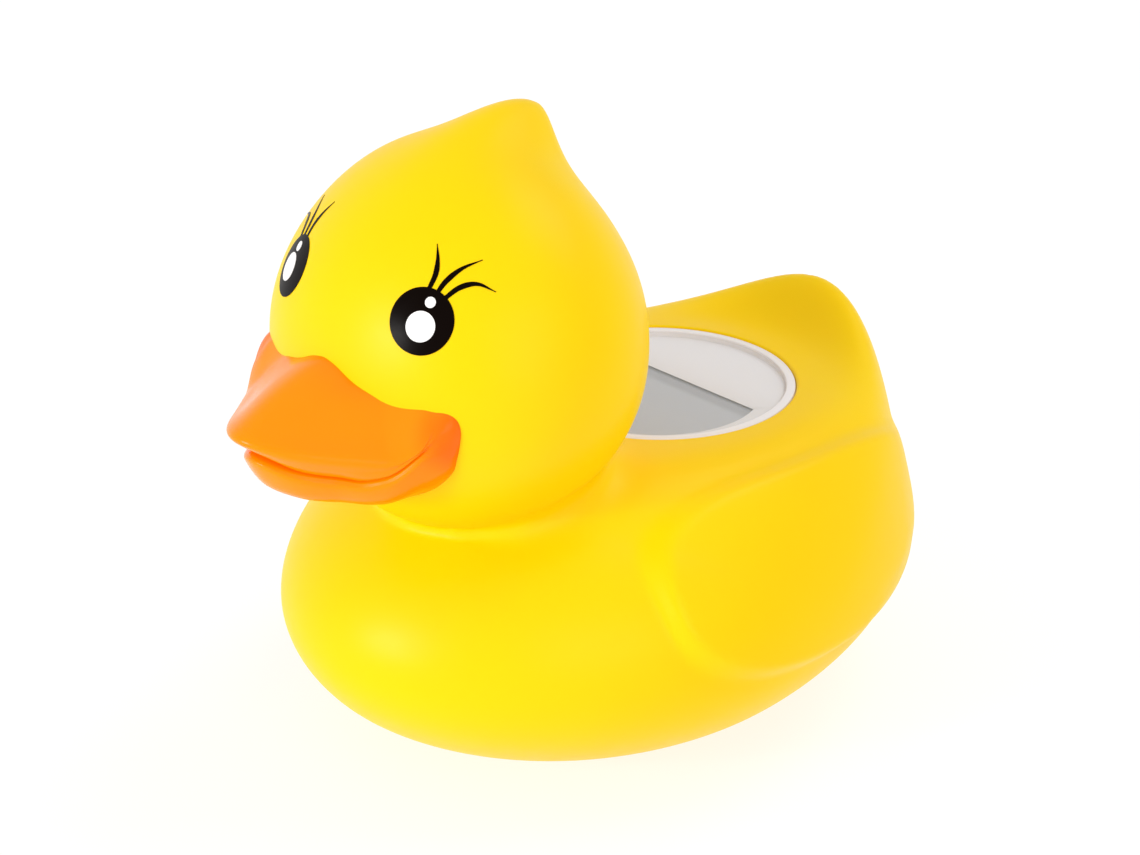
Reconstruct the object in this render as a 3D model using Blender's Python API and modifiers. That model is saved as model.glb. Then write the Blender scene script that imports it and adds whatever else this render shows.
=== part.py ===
"""Duck-shaped baby bath thermometer with a drop-in display module.

The duck looks along -Y and stands on Z = 0, with +X its left side. Its one-piece
soft shell carries head, crest, bill, wings and tail, and has an open seat in its
back for the thermometer module and a small hole in its belly for the module's
sensing nose. All sizes are real sizes in metres.
"""

import math

import bmesh
import bpy
import numpy as np
from mathutils import Matrix, Vector

MM = 0.001

# Body of the duck
BODY_FRONT = 54.8 * MM          # centre of the body to the breast
BODY_REAR = 62.1 * MM           # centre of the body to the rump
BODY_HALF_WIDTH = 46.2 * MM
BODY_UP = 30.6 * MM             # centre to the back, before the tail is drawn out
BODY_DOWN = 27.5 * MM           # centre to the belly, before the foot is made flat
BODY_Y = 4.0 * MM
BODY_Z = 24.2 * MM
BODY_FULLNESS = 1.9            # 2 is an ellipsoid, more is boxier
FOOT_BLEND = 1.0 * MM           # height over which the belly runs into the flat foot
WALL = 2.5 * MM                 # soft vinyl

# Tail, drawn out of the body
TAIL_RISE = 38.9                # degrees above level, where the pull is centred
TAIL_SPREAD = 35.9              # degrees to each side
TAIL_THICKNESS = 16.3           # degrees above and below
TAIL_BACK = 5.4 * MM
TAIL_UP = 20.7 * MM

# Wings, raised pads on the flanks
WING_Y = 22.6 * MM
WING_Z = 31.7 * MM
WING_LENGTH = 75.3 * MM
WING_DEPTH = 31.8 * MM
WING_TILT = -7.2                 # degrees, rear end up
WING_RISE = 1.2 * MM
WING_SQUARENESS = 2.25
WING_EDGE = 0.12                # soft edge, as a share of the wing's half size

# Head, an egg with a wide brow drawn up and a crest leaning back
HEAD_HALF_WIDTH = 32.8 * MM
HEAD_HALF_LENGTH = 27.25 * MM
HEAD_HALF_HEIGHT = 29.2 * MM
HEAD_Y = -23.2 * MM
HEAD_Z = 70.7 * MM
CHIN_NARROWING = 0.105          # share of the width lost towards the chin
NAPE_INSET = 3.9 * MM
BROW_LEAN = 9.4                 # degrees back from straight up
BROW_RISE = 4.2 * MM
BROW_DRAW = 11.5                # degrees back that the brow is drawn along
BROW_SPREAD = (60.7, 47.4, 46.0)    # degrees to the side, front and back
CREST_LEAN = 26.4
CREST_RISE = 6.5 * MM
CREST_DRAW = 31.2               # degrees back that the crest is drawn along
CREST_SPREAD = (11.6, 27.0, 9.05)
CREST_SHARPNESS = 1.81

# Bill, wrapped round the front of the face
BILL_Y = -43.8 * MM             # upright axis that the bill fans out from
BILL_HALF_WIDTH = 22.8 * MM
BILL_REACH = 22.75 * MM
BILL_ROOT = 12.0 * MM           # reach backwards, inside the head
BILL_ROUNDNESS = 1.1            # 1 has straight sides in plan, 2 is an ellipse
BILL_FRONT_BLEND = 8.0          # degrees over which the tip is rounded
BILL_FLARE = 0.4 * MM           # further reach at the tip
BILL_FLARE_SPREAD = 15.6        # degrees
BILL_TOP_Z = 77.9 * MM
BILL_BOTTOM_Z = 52.5 * MM
BILL_RIM_Z = 64.4 * MM          # rim at its lowest, beside the tip
BILL_TIP_LIFT = 4.9 * MM
BILL_TIP_SPREAD = 17.9          # degrees
BILL_CORNER_LIFT = 5.0 * MM
BILL_CORNER_START = 52.0        # degrees from the front
BILL_LIP = 1.6 * MM
BILL_CHEEK = 0.3 * MM           # swell behind the end of the mouth
MOUTH_DROP = 2.6 * MM           # mouth line below the rim
MOUTH_DEPTH = 3.0 * MM
MOUTH_END = 40.0                # degrees from the front where the mouth starts to fade
MOUTH_FADE = 32.0
LOWER_LIP = 1.5 * MM            # lower lip below the mouth line
LOWER_BILL_INSET = 2.1 * MM
BILL_TOP_STEPS = (0.32, 0.62)   # share of the reach at the two stations of the top
BILL_TOP_FRONT = (0.811, 0.591, 0.049)  # share of the root's height kept, from root to rim
BILL_TOP_SIDE = (0.718, 0.581, 0.209)
BILL_TIP_DIP = 0.044            # lost from the first share at the tip
BILL_SIDE_START = 23.1          # degrees from the front where the top changes to its side shape
BILL_CHIN = ((0.872, 0.465), (0.764, 0.625))    # shares of the reach and of the depth

# Back deck and the seat for the module
MODULE_Y = 19.4 * MM
DECK_Z = 51.55 * MM
DECK_RADIUS = 26.0 * MM         # flat part of the deck
DECK_BLEND_RADIUS = 46.0 * MM
OPENING_RADIUS = 23.0 * MM
DISPLAY_RECESS = 0.8 * MM       # display face below the deck
SEAT_LEDGE = 1.7 * MM           # width of the ledge that the module rests on
SEAT_THICKNESS = 2.5 * MM
COLLAR_WALL = 2.6 * MM
RUNNING_GAP = 0.3 * MM          # between pieces that touch or slide together

# Display module
BEZEL_RIM_THICKNESS = 2.7 * MM
BEZEL_RIM_WIDTH = 1.9 * MM
BEZEL_CHAMFER = 0.3 * MM
LENS_THICKNESS = 0.8 * MM
BEZEL_FLOOR = 0.8 * MM
SKIRT_WALL = 1.2 * MM
SKIRT_LENGTH = 1.9 * MM         # below the rim, inside the barrel
FLANGE_THICKNESS = 2.0 * MM
BARREL_WALL = 1.8 * MM
BARREL_LENGTH = 33.0 * MM       # from the flange to the battery end
BARREL_FLOOR = 2.0 * MM
BARREL_CHAMFER = 1.0 * MM
WINDOW_RADIUS = 16.8 * MM
WINDOW_REAR = 6.6 * MM          # straight edge towards the tail
WINDOW_FRONT = 12.0 * MM        # straight edge towards the head
WINDOW_BEVEL = 1.6 * MM
LCD_THICKNESS = 2.2 * MM
LCD_MARGIN = 0.6 * MM           # the panel is larger than its window
CONNECTOR_WIDTH = 1.8 * MM
CONNECTOR_HEIGHT = 3.2 * MM
CONNECTOR_LENGTH = 22.0 * MM
BOARD_THICKNESS = 1.6 * MM
BOARD_CLEARANCE = 0.9 * MM
CHIP_RADIUS = 4.5 * MM
CHIP_HEIGHT = 1.5 * MM
BOSS_RADIUS = 2.0 * MM
BOSS_CIRCLE = 15.9 * MM
BOSS_ANGLES = (58.0, 122.0, 250.0, 290.0)
SEAL_RADIUS = 0.45 * MM         # round section of the bezel seal

# Screws
SCREW_RADIUS = 0.85 * MM
SCREW_HEAD_RADIUS = 1.6 * MM
SCREW_HEAD_HEIGHT = 1.1 * MM
BOARD_SCREW_LENGTH = 4.6 * MM
COVER_SCREW_LENGTH = 4.6 * MM
POST_WALL = 1.2 * MM

# Battery end
CELL_RADIUS = 10.0 * MM
CELL_THICKNESS = 3.2 * MM
CELL_OFFSET = 7.0 * MM          # cell axis behind the module's axis
CELL_CLEARANCE = 0.5 * MM
POCKET_WALL = 1.5 * MM
POCKET_CEILING = 1.2 * MM
CONTACT_RADIUS = 5.0 * MM
CONTACT_THICKNESS = 0.4 * MM
CONTACT_TAIL_WIDTH = 2.0 * MM
CONTACT_TAIL_RISE = 2.0 * MM    # above the pocket's ceiling
COVER_THICKNESS = 1.6 * MM
COVER_MARGIN = 2.4 * MM         # cover beyond the cell pocket
COVER_EAR_RADIUS = 3.0 * MM
COVER_SCREW_X = 14.4 * MM
COVER_SEAL_RADIUS = 0.4 * MM
COVER_SEAL_MARGIN = 0.5 * MM     # seal inside the cover's rim

# Sensing nose
NOSE_OFFSET = 12.6 * MM         # nose axis in front of the module's axis
NOSE_RADIUS = 6.0 * MM
NOSE_WALL = 1.3 * MM
NOSE_END = 4.4 * MM             # solid end that carries the probe
NOSE_TIP_Z = 1.6 * MM           # underside of the nose above the ground
NOSE_COLLAR_WALL = 2.6 * MM
NOSE_COLLAR_TOP = 7.5 * MM
PROBE_RADIUS = 1.8 * MM
PROBE_WALL = 0.4 * MM
PROBE_TIP_Z = 0.7 * MM
PROBE_LENGTH = 7.0 * MM
THERMISTOR_RADIUS = 1.0 * MM
THERMISTOR_LENGTH = 2.4 * MM
WATER_CONTACT_RADIUS = 0.9 * MM
WATER_CONTACT_SPACING = 7.6 * MM
WATER_CONTACT_LENGTH = 6.4 * MM
LEAD_RADIUS = 0.45 * MM
LEAD_SWAY = 4.0 * MM            # sideways at half height, for the leads that bend
LEAD_STEP = 5.0 * MM            # sideways or upwards at a lead's ends

# Facets
TURN_STEPS = 32
DISC_STEPS = 24
PROBE_STEPS = 20
PIN_STEPS = 16
SCREW_STEPS = 12
BODY_LATTICE = (48, 32)         # steps round and from pole to pole
HEAD_LATTICE = (34, 24)
BILL_LATTICE = (36, 20)
BODY_HOLLOW_LATTICE = (26, 17)
HEAD_HOLLOW_LATTICE = (20, 13)

# Places that follow from the stack in the seat
BEZEL_TOP = DECK_Z - DISPLAY_RECESS
BEZEL_RIM_Z = BEZEL_TOP - BEZEL_RIM_THICKNESS
FLANGE_TOP = BEZEL_RIM_Z - RUNNING_GAP
FLANGE_Z = FLANGE_TOP - FLANGE_THICKNESS
SEAT_Z = FLANGE_Z - RUNNING_GAP
COLLAR_Z = SEAT_Z - SEAT_THICKNESS
SEAT_HOLE_RADIUS = OPENING_RADIUS - SEAT_LEDGE
FLANGE_RADIUS = OPENING_RADIUS - RUNNING_GAP
BARREL_RADIUS = SEAT_HOLE_RADIUS - RUNNING_GAP
BORE_RADIUS = BARREL_RADIUS - BARREL_WALL
LENS_RADIUS = FLANGE_RADIUS - BEZEL_RIM_WIDTH
LENS_SEAT_Z = BEZEL_TOP - LENS_THICKNESS - RUNNING_GAP
BEZEL_FLOOR_Z = LENS_SEAT_Z - BEZEL_FLOOR
SKIRT_RADIUS = BORE_RADIUS - RUNNING_GAP
LCD_TOP = BEZEL_FLOOR_Z - RUNNING_GAP
LCD_Z = LCD_TOP - LCD_THICKNESS
CONNECTOR_TOP = LCD_Z - RUNNING_GAP
CONNECTOR_Z = CONNECTOR_TOP - CONNECTOR_HEIGHT
BOARD_TOP = CONNECTOR_Z - RUNNING_GAP
BOARD_Z = BOARD_TOP - BOARD_THICKNESS
BOARD_RADIUS = BORE_RADIUS - BOARD_CLEARANCE
BOARD_UNDERSIDE = BOARD_Z - RUNNING_GAP
BARREL_Z = FLANGE_Z - BARREL_LENGTH
BARREL_FLOOR_TOP = BARREL_Z + BARREL_FLOOR
POCKET_RADIUS = CELL_RADIUS + CELL_CLEARANCE
LOWER_CONTACT_Z = BARREL_Z + RUNNING_GAP
CELL_Z = LOWER_CONTACT_Z + CONTACT_THICKNESS + RUNNING_GAP
UPPER_CONTACT_Z = CELL_Z + CELL_THICKNESS + RUNNING_GAP
POCKET_TOP = UPPER_CONTACT_Z + CONTACT_THICKNESS + RUNNING_GAP
POCKET_ROOF = POCKET_TOP + POCKET_CEILING
TAIL_TOP = POCKET_ROOF + CONTACT_TAIL_RISE
COVER_TOP = BARREL_Z - RUNNING_GAP
COVER_Z = COVER_TOP - COVER_THICKNESS
COVER_RADIUS = POCKET_RADIUS + COVER_MARGIN
COVER_SEAL_RING = COVER_RADIUS - COVER_SEAL_RADIUS - COVER_SEAL_MARGIN
NOSE_HOLE_RADIUS = NOSE_RADIUS + RUNNING_GAP
PROBE_HOLE_RADIUS = PROBE_RADIUS + RUNNING_GAP
SCREW_HOLE_RADIUS = SCREW_RADIUS + RUNNING_GAP
FRONT_TAIL_Y = CELL_OFFSET + CONTACT_RADIUS - CONTACT_THICKNESS
REAR_TAIL_Y = CELL_OFFSET + CELL_RADIUS + RUNNING_GAP


def smooth_step(t):
    """Rise from 0 to 1 with level ends."""
    t = np.clip(t, 0.0, 1.0)
    return t * t * (3.0 - 2.0 * t)


def bump(directions, lean, spread, sharpness=2.0):
    """Strength of a pull round the direction that leans back from straight up.

    spread holds the reach in degrees to the side, to the front and to the back.
    """
    lean = math.radians(lean)
    side, front, back = (math.radians(angle) for angle in spread)
    centre = np.array([0.0, math.sin(lean), math.cos(lean)])
    forward = np.array([0.0, -math.cos(lean), math.sin(lean)])
    facing = directions @ centre
    safe = np.maximum(facing, 1e-3)
    sideways = np.arctan2(directions[:, 0], safe) / side
    along = np.arctan2(directions @ forward, safe)
    along = along / np.where(along > 0.0, front, back)
    reach = (sideways ** 2 + along ** 2) ** (sharpness / 2.0)
    return np.where(facing > 0.02, np.exp(-reach), 0.0)


def wing_mask(points, directions):
    """1 on the wings, 0 off them, with a soft edge: a tilted rounded box seen from the side."""
    tilt = math.radians(WING_TILT)
    y = points[:, 1] - WING_Y
    z = points[:, 2] - WING_Z
    along = np.abs(y * math.cos(tilt) + z * math.sin(tilt)) / (WING_LENGTH / 2)
    across = np.abs(z * math.cos(tilt) - y * math.sin(tilt)) / (WING_DEPTH / 2)
    reach = (along ** WING_SQUARENESS + across ** WING_SQUARENESS) ** (1 / WING_SQUARENESS)
    pad = 1.0 - smooth_step((reach - (1 - WING_EDGE)) / (2 * WING_EDGE))
    return pad * smooth_step((np.abs(directions[:, 0]) - 0.05) / 0.25)


def body_form(directions):
    """Place the points of the body for an array of unit directions."""
    reach = (np.abs(directions) ** BODY_FULLNESS).sum(1) ** (1 / BODY_FULLNESS)
    unit = directions / reach[:, None]
    length = np.where(unit[:, 1] > 0, BODY_REAR, BODY_FRONT)
    height = np.where(unit[:, 2] > 0, BODY_UP, BODY_DOWN)
    points = np.stack([unit[:, 0] * BODY_HALF_WIDTH, unit[:, 1] * length, unit[:, 2] * height], 1)
    spread = (TAIL_SPREAD, TAIL_THICKNESS, TAIL_THICKNESS)
    tail = bump(directions, 90.0 - TAIL_RISE, spread)
    points += tail[:, None] * np.array([0.0, TAIL_BACK, TAIL_UP])
    points += np.array([0.0, BODY_Y, BODY_Z])

    distance = np.hypot(points[:, 0], points[:, 1] - MODULE_Y)
    off_deck = smooth_step((distance - DECK_RADIUS) / (DECK_BLEND_RADIUS - DECK_RADIUS))
    levelled = DECK_Z + (points[:, 2] - DECK_Z) * off_deck
    points[:, 2] = np.where(directions[:, 2] > 0, levelled, points[:, 2])

    sizes = np.array([BODY_HALF_WIDTH, BODY_REAR, BODY_UP])
    outward = (points - np.array([0.0, BODY_Y, BODY_Z])) / sizes ** 2
    outward /= np.linalg.norm(outward, axis=1)[:, None]
    points += (WING_RISE * wing_mask(points, directions))[:, None] * outward

    z = points[:, 2]
    rounded = (z + FOOT_BLEND) ** 2 / (4 * FOOT_BLEND)
    points[:, 2] = np.where(z > FOOT_BLEND, z, np.where(z < -FOOT_BLEND, 0.0, rounded))
    return points


def head_form(directions):
    """Place the points of the head for an array of unit directions."""
    sizes = np.array([HEAD_HALF_WIDTH, HEAD_HALF_LENGTH, HEAD_HALF_HEIGHT])
    points = directions * sizes
    points[:, 0] *= 1 - CHIN_NARROWING * smooth_step(-directions[:, 2])
    nape = smooth_step(directions[:, 1]) * smooth_step(0.5 - directions[:, 2])
    points[:, 1] -= NAPE_INSET * nape
    brow = bump(directions, BROW_LEAN, BROW_SPREAD)
    points += (BROW_RISE * brow)[:, None] * lean_vector(BROW_DRAW)
    crest = bump(directions, CREST_LEAN, CREST_SPREAD, CREST_SHARPNESS)
    points += (CREST_RISE * crest)[:, None] * lean_vector(CREST_DRAW)
    return points + np.array([0.0, HEAD_Y, HEAD_Z])


def lean_vector(degrees):
    """Unit vector that leans back from straight up."""
    angle = math.radians(degrees)
    return np.array([0.0, math.sin(angle), math.cos(angle)])


def curve_through(stations, t):
    """Read a smooth curve through the stations at t from 0 to 1."""
    first = 2 * stations[:1] - stations[1:2]
    last = 2 * stations[-1:] - stations[-2:-1]
    knots = np.concatenate([first, stations, last])
    spans = len(stations) - 1
    place = np.clip(t * spans, 0.0, spans - 1e-9)
    index = place.astype(int)
    f = (place - index)[:, None]
    column = np.arange(len(t))
    a, b, c, d = (knots[index + k, :, column] for k in range(4))
    return 0.5 * (2 * b + (c - a) * f + (2 * a - 5 * b + 4 * c - d) * f ** 2
                  + (3 * b - a - 3 * c + d) * f ** 3)


def bill_form(directions):
    """Place the points of the bill: a section from top to bottom, fanned round an upright axis."""
    around = np.arctan2(directions[:, 0], -directions[:, 1])
    down = np.arccos(np.clip(directions[:, 2], -1, 1)) / math.pi
    turn = np.abs(around)
    quarter = math.pi / 2
    length = np.where(turn < quarter, BILL_REACH, BILL_ROOT)
    blend = math.radians(BILL_FRONT_BLEND)
    eased = np.hypot(turn, blend) - blend
    reach = ((np.abs(np.sin(eased)) / BILL_HALF_WIDTH) ** BILL_ROUNDNESS
             + (np.abs(np.cos(turn)) / length) ** BILL_ROUNDNESS) ** (-1 / BILL_ROUNDNESS)
    reach += BILL_FLARE * np.exp(-(turn / math.radians(BILL_FLARE_SPREAD)) ** 2)
    tip = np.exp(-eased / math.radians(BILL_TIP_SPREAD))
    corner_start = math.radians(BILL_CORNER_START)
    corner = smooth_step((turn - corner_start) / (quarter - corner_start))
    rim = BILL_RIM_Z + BILL_TIP_LIFT * tip + BILL_CORNER_LIFT * corner
    mouth = 1 - smooth_step((turn - math.radians(MOUTH_END)) / math.radians(MOUTH_FADE))
    mouth_z = rim - MOUTH_DROP
    root = BILL_TOP_Z - rim
    side_start = math.radians(BILL_SIDE_START)
    side = smooth_step((turn - side_start) / (quarter - side_start))
    near, middle, far = (front + (flank - front) * side
                         for front, flank in zip(BILL_TOP_FRONT, BILL_TOP_SIDE))
    near = near - BILL_TIP_DIP * tip
    lower = reach - LOWER_BILL_INSET * mouth
    depth = mouth_z - BILL_BOTTOM_Z
    level = np.ones_like(turn)
    underside = 0.9 * BILL_LIP * mouth - BILL_CHEEK * (1 - mouth)
    groove = MOUTH_DEPTH * mouth - BILL_CHEEK * (1 - mouth)
    stations = np.array([
        (0 * level, BILL_TOP_Z * level),
        (BILL_TOP_STEPS[0] * reach, rim + near * root),
        (BILL_TOP_STEPS[1] * reach, rim + middle * root),
        (reach - 1.6 * BILL_LIP, rim + 0.95 * BILL_LIP + far * root),
        (reach, rim),
        (reach - underside, rim - BILL_LIP),
        (reach - groove, mouth_z),
        (lower, mouth_z - LOWER_LIP),
        *((share * lower, mouth_z - fall * depth) for share, fall in BILL_CHIN),
        (0 * level, BILL_BOTTOM_Z * level),
    ])
    section = curve_through(stations, down)
    out, height = section[:, 0], section[:, 1]
    return np.stack([out * np.sin(around), BILL_Y - out * np.cos(around), height], 1)


def clear_scene():
    """Remove everything that a new file starts with."""
    for item in list(bpy.data.objects):
        bpy.data.objects.remove(item, do_unlink=True)


def make_collection(name):
    """Add a collection to the scene."""
    collection = bpy.data.collections.new(name)
    bpy.context.scene.collection.children.link(collection)
    return collection


def make_material(name, colour, roughness, metallic=0.0, alpha=1.0):
    """Make a plain surface from a colour, a roughness and a metallic value."""
    material = bpy.data.materials.new(name)
    material.use_nodes = True
    shader = material.node_tree.nodes["Principled BSDF"]
    shader.inputs["Base Color"].default_value = (*colour, 1.0)
    shader.inputs["Roughness"].default_value = roughness
    shader.inputs["Metallic"].default_value = metallic
    shader.inputs["Alpha"].default_value = alpha
    return material


class Workshop:
    """Makes objects in the part's collection or among the cutters."""

    def __init__(self):
        clear_scene()
        self.parts = make_collection("bath_thermometer")
        self.cutters = make_collection("cutters")
        self.axis = bpy.data.objects.new("module_axis", None)
        self.axis.location = (0.0, MODULE_Y, 0.0)
        self.parts.objects.link(self.axis)

    def add(self, name, mesh, material=None, cutter=False, on_module=False):
        """Link a mesh as a piece or as a cutter."""
        item = bpy.data.objects.new(name, mesh)
        (self.cutters if cutter else self.parts).objects.link(item)
        if cutter:
            item.hide_render = True
            item.display_type = "WIRE"
        if on_module:
            item.parent = self.axis
        if material is not None:
            mesh.materials.append(material)
        return item

    def form(self, name, place, lattice, upright=True, inset=0.0, **options):
        """Shape a sphere primitive by a function of its unit directions."""
        shape = bmesh.new()
        segments, rings = lattice
        bmesh.ops.create_uvsphere(shape, u_segments=segments, v_segments=rings, radius=1.0)
        if not upright:
            turn = Matrix.Rotation(math.radians(90), 3, "X")
            bmesh.ops.rotate(shape, verts=shape.verts, cent=(0, 0, 0), matrix=turn)
        directions = np.array([vertex.co[:] for vertex in shape.verts])
        points = place(directions)
        for vertex, point in zip(shape.verts, points):
            vertex.co = point
        bmesh.ops.recalc_face_normals(shape, faces=shape.faces)
        shape.normal_update()
        if inset:
            moved = [vertex.co - vertex.normal * inset for vertex in shape.verts]
            for vertex, point in zip(shape.verts, moved):
                vertex.co = point
        return self.finish(name, shape, **options)

    def finish(self, name, shape, **options):
        """Turn an edited shape into a smooth-shaded object."""
        mesh = bpy.data.meshes.new(name)
        shape.to_mesh(mesh)
        shape.free()
        mesh.shade_smooth()
        mesh.set_sharp_from_angle(angle=math.radians(35))
        return self.add(name, mesh, **options)

    def cylinder(self, name, radius, low, high, x=0.0, y=0.0, top_radius=None,
                 segments=TURN_STEPS, **options):
        """Stand a cylinder or a cone between two heights."""
        shape = bmesh.new()
        upper = radius if top_radius is None else top_radius
        bmesh.ops.create_cone(
            shape, cap_ends=True, segments=segments, radius1=radius, radius2=upper,
            depth=high - low, matrix=Matrix.Translation((x, y, (low + high) / 2)))
        return self.finish(name, shape, **options)

    def box(self, name, low, high, **options):
        """Make a box between two corners."""
        shape = bmesh.new()
        size = Vector(high) - Vector(low)
        middle = (Vector(high) + Vector(low)) / 2
        matrix = Matrix.Translation(middle) @ Matrix.Diagonal((*size, 1.0))
        bmesh.ops.create_cube(shape, size=1.0, matrix=matrix)
        return self.finish(name, shape, **options)

    def turned(self, name, profile, closed=False, x=0.0, y=0.0, steps=TURN_STEPS, **options):
        """Turn a profile of (radius, height) pairs, listed down its outer side."""
        mesh = bpy.data.meshes.new(name)
        points = [(radius, 0.0, height) for radius, height in profile]
        edges = [(i, i + 1) for i in range(len(points) - 1)]
        if closed:
            edges.append((len(points) - 1, 0))
        mesh.from_pydata(points, edges, [])
        item = self.add(name, mesh, **options)
        item.location = (x, y, 0.0)
        screw = item.modifiers.new("turn", "SCREW")
        screw.axis = "Z"
        screw.angle = math.tau
        screw.steps = steps
        screw.render_steps = steps
        screw.use_merge_vertices = True
        screw.merge_threshold = 0.00001
        screw.use_smooth_shade = True
        return item

    def window(self, name, radius, front, rear, low, high, slope=0.0, overrun=0.0, **options):
        """Make a disc with two straight sides.

        slope widens it from low to high, and overrun carries both ends on at that slope.
        """
        pitch = slope / (high - low)
        shape = bmesh.new()
        bmesh.ops.create_cone(
            shape, cap_ends=True, segments=TURN_STEPS,
            radius1=radius - pitch * overrun, radius2=radius + slope + pitch * overrun,
            depth=high - low + 2 * overrun,
            matrix=Matrix.Translation((0, 0, (low + high) / 2)))
        for side, edge in ((1.0, rear), (-1.0, front)):
            normal = Vector((0.0, side, -pitch)).normalized()
            cut = bmesh.ops.bisect_plane(
                shape, geom=shape.verts[:] + shape.edges[:] + shape.faces[:],
                plane_co=(0.0, side * edge, low), plane_no=normal, clear_outer=True)
            rim = [item for item in cut["geom_cut"] if isinstance(item, bmesh.types.BMEdge)]
            bmesh.ops.edgeloop_fill(shape, edges=rim)
        bmesh.ops.recalc_face_normals(shape, faces=shape.faces)
        return self.finish(name, shape, **options)

    def lead(self, name, points, material, radius=LEAD_RADIUS):
        """Run a round insulated lead along a smooth route through the given points."""
        route = np.array(points)
        count = 2 * (len(route) - 1) + 1
        stations = np.repeat(route[:, :, None], count, axis=2)
        smooth = curve_through(stations, np.linspace(0, 1, count))
        curve = bpy.data.curves.new(name, "CURVE")
        curve.dimensions = "3D"
        curve.bevel_depth = radius
        curve.bevel_resolution = 1
        curve.use_fill_caps = True
        spline = curve.splines.new("POLY")
        spline.points.add(count - 1)
        for point, place in zip(spline.points, smooth):
            point.co = (*place, 1.0)
        curve.materials.append(material)
        item = bpy.data.objects.new(name, curve)
        self.parts.objects.link(item)
        item.parent = self.axis
        return item


def combine(item, tool, operation):
    """Add an exact Boolean to a piece."""
    modifier = item.modifiers.new(f"{operation.lower()}_{tool.name}", "BOOLEAN")
    modifier.solver = "EXACT"
    modifier.operation = operation
    modifier.object = tool
    if operation == "UNION":
        modifier.material_mode = "TRANSFER"
    return modifier


def build_shell(shop, yellow, orange):
    """Mould the duck: the outer forms joined, hollowed by inner forms, then opened for the module."""
    shell = shop.form("duck_shell", body_form, BODY_LATTICE, upright=False, material=yellow)
    head = shop.form("head_outer", head_form, HEAD_LATTICE, cutter=True, material=yellow)
    bill = shop.form("bill_outer", bill_form, BILL_LATTICE, cutter=True, material=orange)
    combine(shell, head, "UNION")
    combine(shell, bill, "UNION")

    hollow = shop.form("body_hollow", body_form, BODY_HOLLOW_LATTICE, upright=False, inset=WALL, cutter=True)
    head_hollow = shop.form("head_hollow", head_form, HEAD_HOLLOW_LATTICE, inset=WALL, cutter=True)
    combine(hollow, head_hollow, "UNION")
    combine(shell, hollow, "DIFFERENCE")

    collar = shop.cylinder(
        "seat_collar", OPENING_RADIUS + COLLAR_WALL, COLLAR_Z, DECK_Z - WALL / 2,
        cutter=True, on_module=True, material=yellow)
    combine(shell, collar, "UNION")
    seat = shop.turned("seat_bore", [
        (0.0, DECK_Z + WALL),
        (OPENING_RADIUS, DECK_Z + WALL),
        (OPENING_RADIUS, SEAT_Z),
        (SEAT_HOLE_RADIUS, SEAT_Z),
        (SEAT_HOLE_RADIUS, COLLAR_Z - WALL),
        (0.0, COLLAR_Z - WALL),
    ], cutter=True, on_module=True)
    combine(shell, seat, "DIFFERENCE")

    nose_collar = shop.cylinder(
        "nose_collar", NOSE_HOLE_RADIUS + NOSE_COLLAR_WALL, WALL / 2, NOSE_COLLAR_TOP,
        y=-NOSE_OFFSET, cutter=True, on_module=True, material=yellow)
    combine(shell, nose_collar, "UNION")
    nose_bore = shop.cylinder(
        "nose_bore", NOSE_HOLE_RADIUS, -WALL, NOSE_COLLAR_TOP + WALL,
        y=-NOSE_OFFSET, cutter=True, on_module=True)
    combine(shell, nose_bore, "DIFFERENCE")
    return shell


def boss_places():
    """List the places of the four bosses under the bezel."""
    angles = [math.radians(angle) for angle in BOSS_ANGLES]
    return [(BOSS_CIRCLE * math.cos(a), BOSS_CIRCLE * math.sin(a)) for a in angles]


def build_bezel(shop, white, clear):
    """Make the white display cover with its bevelled window and bosses, and its clear lens."""
    lens_recess = LENS_RADIUS + RUNNING_GAP
    skirt_z = BEZEL_RIM_Z - SKIRT_LENGTH
    skirt_bore = SKIRT_RADIUS - SKIRT_WALL
    bezel = shop.turned("display_bezel", [
        (0.0, LENS_SEAT_Z),
        (lens_recess, LENS_SEAT_Z),
        (lens_recess, BEZEL_TOP),
        (FLANGE_RADIUS - BEZEL_CHAMFER, BEZEL_TOP),
        (FLANGE_RADIUS, BEZEL_TOP - BEZEL_CHAMFER),
        (FLANGE_RADIUS, BEZEL_RIM_Z),
        (SKIRT_RADIUS, BEZEL_RIM_Z),
        (SKIRT_RADIUS, skirt_z),
        (skirt_bore, skirt_z),
        (skirt_bore, BEZEL_FLOOR_Z),
        (0.0, BEZEL_FLOOR_Z),
    ], on_module=True, material=white)
    opening = shop.window(
        "window_opening", WINDOW_RADIUS, WINDOW_FRONT, WINDOW_REAR,
        BEZEL_FLOOR_Z, LENS_SEAT_Z, slope=WINDOW_BEVEL, overrun=0.2 * MM,
        cutter=True, on_module=True)
    combine(bezel, opening, "DIFFERENCE")
    for index, (x, y) in enumerate(boss_places(), start=1):
        boss = shop.cylinder(
            f"bezel_boss_{index}", BOSS_RADIUS, CONNECTOR_Z, BEZEL_FLOOR_Z + BEZEL_FLOOR / 2,
            x=x, y=y, segments=SCREW_STEPS, cutter=True, on_module=True, material=white)
        combine(bezel, boss, "UNION")
        pilot = shop.cylinder(
            f"boss_pilot_{index}", SCREW_HOLE_RADIUS, BOARD_Z,
            BOARD_UNDERSIDE + BOARD_SCREW_LENGTH + RUNNING_GAP,
            x=x, y=y, segments=SCREW_STEPS, cutter=True, on_module=True)
        combine(bezel, pilot, "DIFFERENCE")
    shop.turned("display_lens", [
        (0.0, BEZEL_TOP),
        (LENS_RADIUS, BEZEL_TOP),
        (LENS_RADIUS, BEZEL_TOP - LENS_THICKNESS),
        (0.0, BEZEL_TOP - LENS_THICKNESS),
    ], on_module=True, material=clear)


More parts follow.
